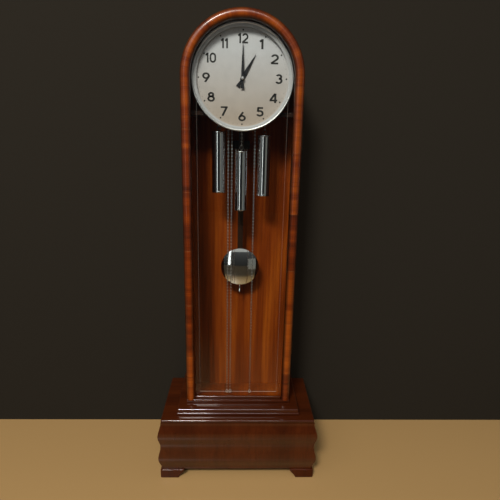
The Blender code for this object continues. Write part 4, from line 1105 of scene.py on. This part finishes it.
def make_link():
    """One long round-ended chain link along Z in the XZ plane; its bent ends, where it hooks into its
    neighbours, carry painted shade.
    """
    reach = LINK_PITCH / 2 + LINK_WIRE - LINK_HALF_WIDTH
    bm = bmesh.new()
    place = Matrix.Translation((LINK_HALF_WIDTH, 0, reach)) @ Matrix.Diagonal((1, LINK_FLATNESS, 1, 1))
    points = bmesh.ops.create_circle(bm, segments=LINK_SIDES, radius=LINK_WIRE, matrix=place)["verts"]
    for end in (reach, -reach):
        rim = [edge for edge in bm.edges if all(vertex in points for vertex in edge.verts)]
        bent = bmesh.ops.spin(
            bm, geom=points + rim, cent=(0, 0, end), axis=(0, -1, 0), angle=math.pi, steps=LINK_END_STEPS
        )["geom_last"]
        points = points_of(bmesh.ops.extrude_edge_only(bm, edges=edges_of(bent))["geom"])
        bmesh.ops.translate(bm, verts=points, vec=(0, 0, -2 * end))
    bmesh.ops.remove_doubles(bm, verts=bm.verts, dist=WELD)
    # Painted shade: the bent ends, where links hook into each other, take the dark finish
    for face in bm.faces:
        face.material_index = int(abs(face.calc_center_median().z) > reach)
    return mesh_of(bm, "link")


CHAIN_LINK = make_link()


def add_link(bm, place):
    """A chain link put in its place."""
    link = CHAIN_LINK.copy()
    link.transform(place)
    join(bm, link)


def add_straight_chain(bm, x, y, low, high):
    """Interlocked links hanging between two heights, every other one turned a quarter."""
    count = max(1, round((high - low) / LINK_PITCH))
    pitch = (high - low) / count
    for i in range(count):
        turn = Matrix.Rotation(LINK_TURN + QUARTER * (i % 2), 4, "Z")
        add_link(bm, Matrix.Translation((x, y, low + pitch * (i + 0.5))) @ turn)


def add_bent_chain(bm, x, y):
    """Links over the top of a chain wheel."""
    length = math.pi * SPROCKET_PITCH_RADIUS
    count = round(length / LINK_PITCH)
    for i in range(count):
        angle = math.pi * (i + 0.5) / count
        out = Matrix.Translation((x, y, SPROCKET_Z)) @ Matrix.Rotation(-angle, 4, "Y")
        turn = Matrix.Rotation(LINK_TURN + QUARTER * (i % 2), 4, "Z")
        add_link(bm, out @ Matrix.Translation((SPROCKET_PITCH_RADIUS, 0, 0)) @ turn)


def finished_chain(name, bm, body, stands_for=()):
    """A run of chain: bright nickel links, with painted shade on their bent ends."""
    strand = finished(name, bm, NICKEL, body, stands_for)
    strand.data.materials.append(DARK_NICKEL_AND_LINK_SHADE)
    return strand


def make_chain(word, side):
    top, _ = weight_facts(word)
    weight_x, chain_y = top.x, top.y
    hook_top = top.z + HOOK_LIFT + 2 * HOOK_RADIUS
    bm = bmesh.new()
    add_bent_chain(bm, weight_x - side * SPROCKET_PITCH_RADIUS, chain_y)
    finished_chain(f"chain_bend_{word}", bm, "case")
    bm = bmesh.new()
    add_straight_chain(bm, weight_x, chain_y, hook_top, SPROCKET_Z)
    strand = finished_chain(f"weight_strand_{word}", bm, None, [f"weight_chain_{word}"])
    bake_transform(strand)
    low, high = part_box(f"free_chain_{word}")
    free_x = (low.x + high.x) / 2
    bm = bmesh.new()
    add_straight_chain(bm, free_x, chain_y, low.z - HOOK_WIRE, SPROCKET_Z)
    strand = finished_chain(f"free_strand_{word}", bm, "case", [f"free_chain_{word}"])
    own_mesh(strand)


# Pendulum and chime

def make_pendulum():
    centre = Vector(((bob_low.x + bob_high.x) / 2, bob_high.y, (bob_low.z + bob_high.z) / 2))
    radius, depth = (bob_high.x - bob_low.x) / 2, bob_high.y - bob_low.y
    rise = depth - BOB_EDGE
    dome = (radius ** 2 + rise ** 2) / (2 * rise)
    swing = math.asin(radius / dome)
    crown = arc(dome, QUARTER, QUARTER - swing, BOB_STEPS, (0, depth - dome))
    bm = bmesh.new()
    place = Matrix.Translation(centre) @ FACING_FRONT
    back = [(radius, BOB_ROUNDING), (radius - BOB_ROUNDING, 0), (0, 0)]
    add_turned(bm, crown + back, BOB_TURN_STEPS, place)
    finished("chrome_bob", bm, CHROME, "pendulum", ["pendulum_bob"])
    middle_y = (stick_low.y + stick_high.y) / 2
    wood_low = centre.z - STICK_PAST_BOB
    bm = bmesh.new()
    add_box(bm, (stick_low.x, stick_low.y, wood_low), stick_high, EDGE_ROUNDING, FEW_SEGMENTS)
    finished("pendulum_stick", bm, DARK_STICK, "pendulum", ["pendulum_rod"])
    bm = bmesh.new()
    thread = [(0, wood_low), (SCREW_RADIUS, wood_low)]
    threaded = wood_low - stick_low.z - SCREW_RUNOUT
    for i in range(SCREW_TURNS):
        z = wood_low - threaded * (i + 1) / SCREW_TURNS
        thread += [(SCREW_RADIUS, z + 2 * SCREW_CREST), (SCREW_ROOT, z + SCREW_CREST)]
    thread += [(reach, stick_low.z + lift) for reach, lift in SCREW_POINT] + [(0, stick_low.z)]
    add_turned(bm, thread, SCREW_STEPS, Matrix.Translation((0, middle_y, 0)))
    finished("rating_screw", bm, NICKEL, "pendulum")
    bm = bmesh.new()
    height = rating_high.z - rating_low.z
    radius = rating_high.x
    section = [(RATING_BORE, height), (radius, height), (radius, 0), (RATING_BORE, 0)]
    section = rounded_profile(section, RATING_ROUNDING, FEW_SEGMENTS) + [(RATING_BORE, height)]
    add_turned(bm, section, RATING_STEPS, Matrix.Translation((0, middle_y, rating_low.z)))
    finished("knurled_rating_nut", bm, CHROME, "pendulum", ["rating_nut"])


def make_chime():
    low_z = gong_high.z - GONG_HEIGHT
    bm = bmesh.new()
    add_box(bm, (gong_low.x, gong_low.y, low_z), gong_high, GONG_ROUNDING, SOME_SEGMENTS)
    finished("gong_casting", bm, CAST_IRON, "case", ["gong_block"])
    bm = bmesh.new()
    for i, length in enumerate(ROD_LENGTHS):
        x = ROD_SPACING * (i - (len(ROD_LENGTHS) - 1) / 2)
        rod = [
            *ROD_COLLAR, (ROD_RADIUS, ROD_START), (ROD_RADIUS, -length + ROD_TIP),
            (ROD_RADIUS - ROD_TIP, -length), (0, -length),
        ]
        add_turned(bm, rod, ROD_STEPS, Matrix.Translation((x, ROD_Y, low_z)))
    finished("chime_rods", bm, NICKEL, "case")


# Finishes of the pieces whose solids already have the right shape

def dress_solids():
    for names, finish in (
        # The seat board takes the near-black stick finish as painted shade: it sits in the shade behind the
        # dial
        (("base_back",), LEVEL_MAHOGANY), (("seat_board",), DARK_STICK), (("back_board",), BACK_VENEER),
        (("front_plate", "back_plate", "suspension_cock", "centre_arbor", "hour_wheel", "minute_wheel",
          "going_sprocket", "going_great_wheel", "intermediate_wheel", "third_wheel", "escape_wheel",
          "strike_chain_wheel", "chime_chain_wheel", "anchor"), BRASS),
        (("suspension_spring", "chain_ring_left", "chain_ring_centre", "chain_ring_right"), NICKEL),
        (("hinge_lower_case_leaf", "hinge_lower_door_leaf", "hinge_upper_case_leaf", "hinge_upper_door_leaf"),
         BRONZED_STEEL),
    ):
        for name in names:
            nodes[name].data.materials.clear()
            nodes[name].data.materials.append(finish)


# Stage

FLOOR_COLOUR = (0.42, 0.265, 0.110)
FAR_FLOOR_COLOUR = (0.045, 0.032, 0.018)
FLOOR_FADE_Y = (-1.30, -0.50)
FLOOR_ROUGHNESS = 0.3
FLOOR_SHINE = 0.2
WALL_COLOUR = (0.024, 0.021, 0.0165, 1.0)
WALL_Y = 0.20
NARROW_BEAM = math.radians(36)
WARM_LIGHT = (1.0, 0.94, 0.86)
SKY_GREYS = ((0.0, 0.02), (0.17, 0.028), (0.40, 0.05), (0.70, 0.12), (1.0, 0.15))
SIDE_GREYS = ((0.60, 0.0), (0.95, 0.18))
STAGE_REACH = 6.0


def plain_finish(name, colour):
    """A plain matt material, with its shader and coordinates."""
    material, tree, shader, place = new_finish(name)
    set_plain(shader, Base_Color=colour, Roughness=0.7, Specular_IOR_Level=0.0)
    return material, tree, shader, place


def make_stage():
    """A pale floor, and a dark wall that is seen only from its front and lets lamp light through."""
    bm = bmesh.new()
    bmesh.ops.create_grid(bm, x_segments=1, y_segments=1, size=STAGE_REACH)
    material, tree, shader, place = plain_finish("pale_floor", (*FLOOR_COLOUR, 1.0))
    set_plain(shader, Roughness=FLOOR_ROUGHNESS, Specular_IOR_Level=FLOOR_SHINE)
    depth = place_node(tree, "ShaderNodeSeparateXYZ", Vector=place).outputs["Y"]
    share = place_node(
        tree, "ShaderNodeMapRange", {"interpolation_type": "SMOOTHSTEP"}, Value=depth,
        From_Min=FLOOR_FADE_Y[0], From_Max=FLOOR_FADE_Y[1],
    )
    pale = shades(tree, share.outputs["Result"], ((0.0, FAR_FLOOR_COLOUR), (1.0, FLOOR_COLOUR)))
    tree.links.new(pale, shader.inputs["Base Color"])
    stage_piece("floor", bm, material)
    bm = bmesh.new()
    place = Matrix.Translation((0, WALL_Y, STAGE_REACH)) @ FACING_FRONT
    bmesh.ops.create_grid(bm, x_segments=1, y_segments=1, size=STAGE_REACH, matrix=place)
    material, tree, shader, _ = plain_finish("dark_wall", WALL_COLOUR)
    clear = tree.nodes.new("ShaderNodeBsdfTransparent")
    behind = tree.nodes.new("ShaderNodeNewGeometry").outputs["Backfacing"]
    lamp_light = tree.nodes.new("ShaderNodeLightPath").outputs["Is Shadow Ray"]
    let_through(tree, shader, clear, (behind, lamp_light))
    stage_piece("wall", bm, material)


def stage_piece(name, bm, finish):
    """A piece of the room, which isn't part of the clock."""
    mesh = mesh_of(bm, name)
    mesh.materials.append(finish)
    made = bpy.data.objects.new(name, mesh)
    scene.collection.objects.link(made)


def add_lamp(name, place, target, size, power, colour=(1.0, 1.0, 1.0), spread=math.pi, mirrored=True):
    """A soft area lamp turned towards a point."""
    lamp = bpy.data.lights.new(name, "AREA")
    lamp.shape = "RECTANGLE"
    lamp.size, lamp.size_y = size
    lamp.energy = power
    lamp.spread = spread
    lamp.color = colour
    holder = bpy.data.objects.new(name, lamp)
    holder.visible_glossy = mirrored
    holder.location = place
    holder.rotation_euler = (Vector(target) - Vector(place)).to_track_quat("-Z", "Y").to_euler()
    scene.collection.objects.link(holder)


def make_light():
    """The main lamps from the upper left, soft strips for the polished parts, and a dim room round them."""
    add_lamp("key_lamp", (-1.6, -4.8, 5.4), (0.0, 0.0, 0.9), (1.2, 1.0), 310.0, WARM_LIGHT)
    add_lamp("long_lamp", (-0.6, -4.8, 5.4), (0.0, 0.0, 0.9), (4.4, 0.5), 130.0, WARM_LIGHT)
    add_lamp("upper_left_card", (-2.5, -2.4, 4.0), (0.0, 0.0, 1.2), (2.4, 1.6), 24.0, (1.0, 0.95, 0.89))
    add_lamp("ceiling_strip", (0.0, -3.5, 3.0), (0.0, 0.0, 0.8), (3.2, 0.8), 3.2, (1.0, 0.96, 0.90))
    add_lamp("side_strip", (-1.12, -2.3, 1.4), (0.0, 0.0, 1.2), (0.24, 1.7), 3.0)
    add_lamp("fill_lamp", (1.36, -2.2, 0.65), (0.0, 0.0, 0.8), (1.0, 1.2), 0.6, (1.0, 0.95, 0.84))
    plain = {"spread": NARROW_BEAM, "mirrored": False}
    add_lamp("back_lamp", (0.0, 3.3, 0.12), (0.0, 0.15, 0.85), (0.5, 0.2), 4.0, **plain)
    add_lamp("right_lamp", (3.4, -0.2, 0.9), (0.2, 0.05, 0.85), (0.5, 1.4), 1.6, **plain)
    world = bpy.data.worlds.new("soft_room")
    world.use_nodes = True
    tree = world.node_tree
    way = place_node(
        tree, "ShaderNodeSeparateXYZ", Vector=tree.nodes.new("ShaderNodeTexCoord").outputs["Generated"]
    )
    share = place_node(tree, "ShaderNodeMapRange", Value=way.outputs["Z"], From_Min=-0.2, From_Max=1.0)
    sky = shades(tree, share.outputs["Result"], SKY_GREYS)
    aside = place_node(tree, "ShaderNodeMath", {"operation": "ABSOLUTE"}, Value=way.outputs["X"])
    sides = shades(tree, aside.outputs["Value"], SIDE_GREYS)
    both = tree.nodes.new("ShaderNodeVectorMath")
    tree.links.new(sky, both.inputs[0])
    tree.links.new(sides, both.inputs[1])
    tree.links.new(both.outputs["Vector"], tree.nodes["Background"].inputs["Color"])
    scene.world = world


def make_camera():
    """The photograph's camera: turned, tipped down and rolled a little."""
    camera = bpy.data.cameras.new("camera")
    camera.sensor_width = SENSOR_WIDTH
    camera.lens = SENSOR_WIDTH * FOCAL_PIXELS / PHOTO_WIDTH
    forward = Vector((math.sin(CAMERA_YAW), math.cos(CAMERA_YAW), 0))
    right = Vector((math.cos(CAMERA_YAW), -math.sin(CAMERA_YAW), 0))
    up = Vector((0, 0, 1))
    ahead = forward * math.cos(CAMERA_PITCH) - up * math.sin(CAMERA_PITCH)
    above = forward * math.sin(CAMERA_PITCH) + up * math.cos(CAMERA_PITCH)
    side = right * math.cos(CAMERA_ROLL) + above * math.sin(CAMERA_ROLL)
    top = -right * math.sin(CAMERA_ROLL) + above * math.cos(CAMERA_ROLL)
    holder = bpy.data.objects.new("camera", camera)
    holder.matrix_world = Matrix.Translation(CAMERA_PLACE) @ Matrix((side, top, -ahead)).transposed().to_4x4()
    scene.collection.objects.link(holder)
    scene.camera = holder


make_camera()
make_light()
make_stage()
make_base_panels()
make_base_board()
make_feet()
make_plinth()
make_case()
make_case_floor()
make_door_moulding()
make_door_rail()
make_door_glass()
make_dial()
make_dial_print()
make_hands()
for weight_word, weight_side in WEIGHTS.items():
    make_weight(weight_word)
    make_chain(weight_word, weight_side)
make_pendulum()
make_chime()
dress_solids()
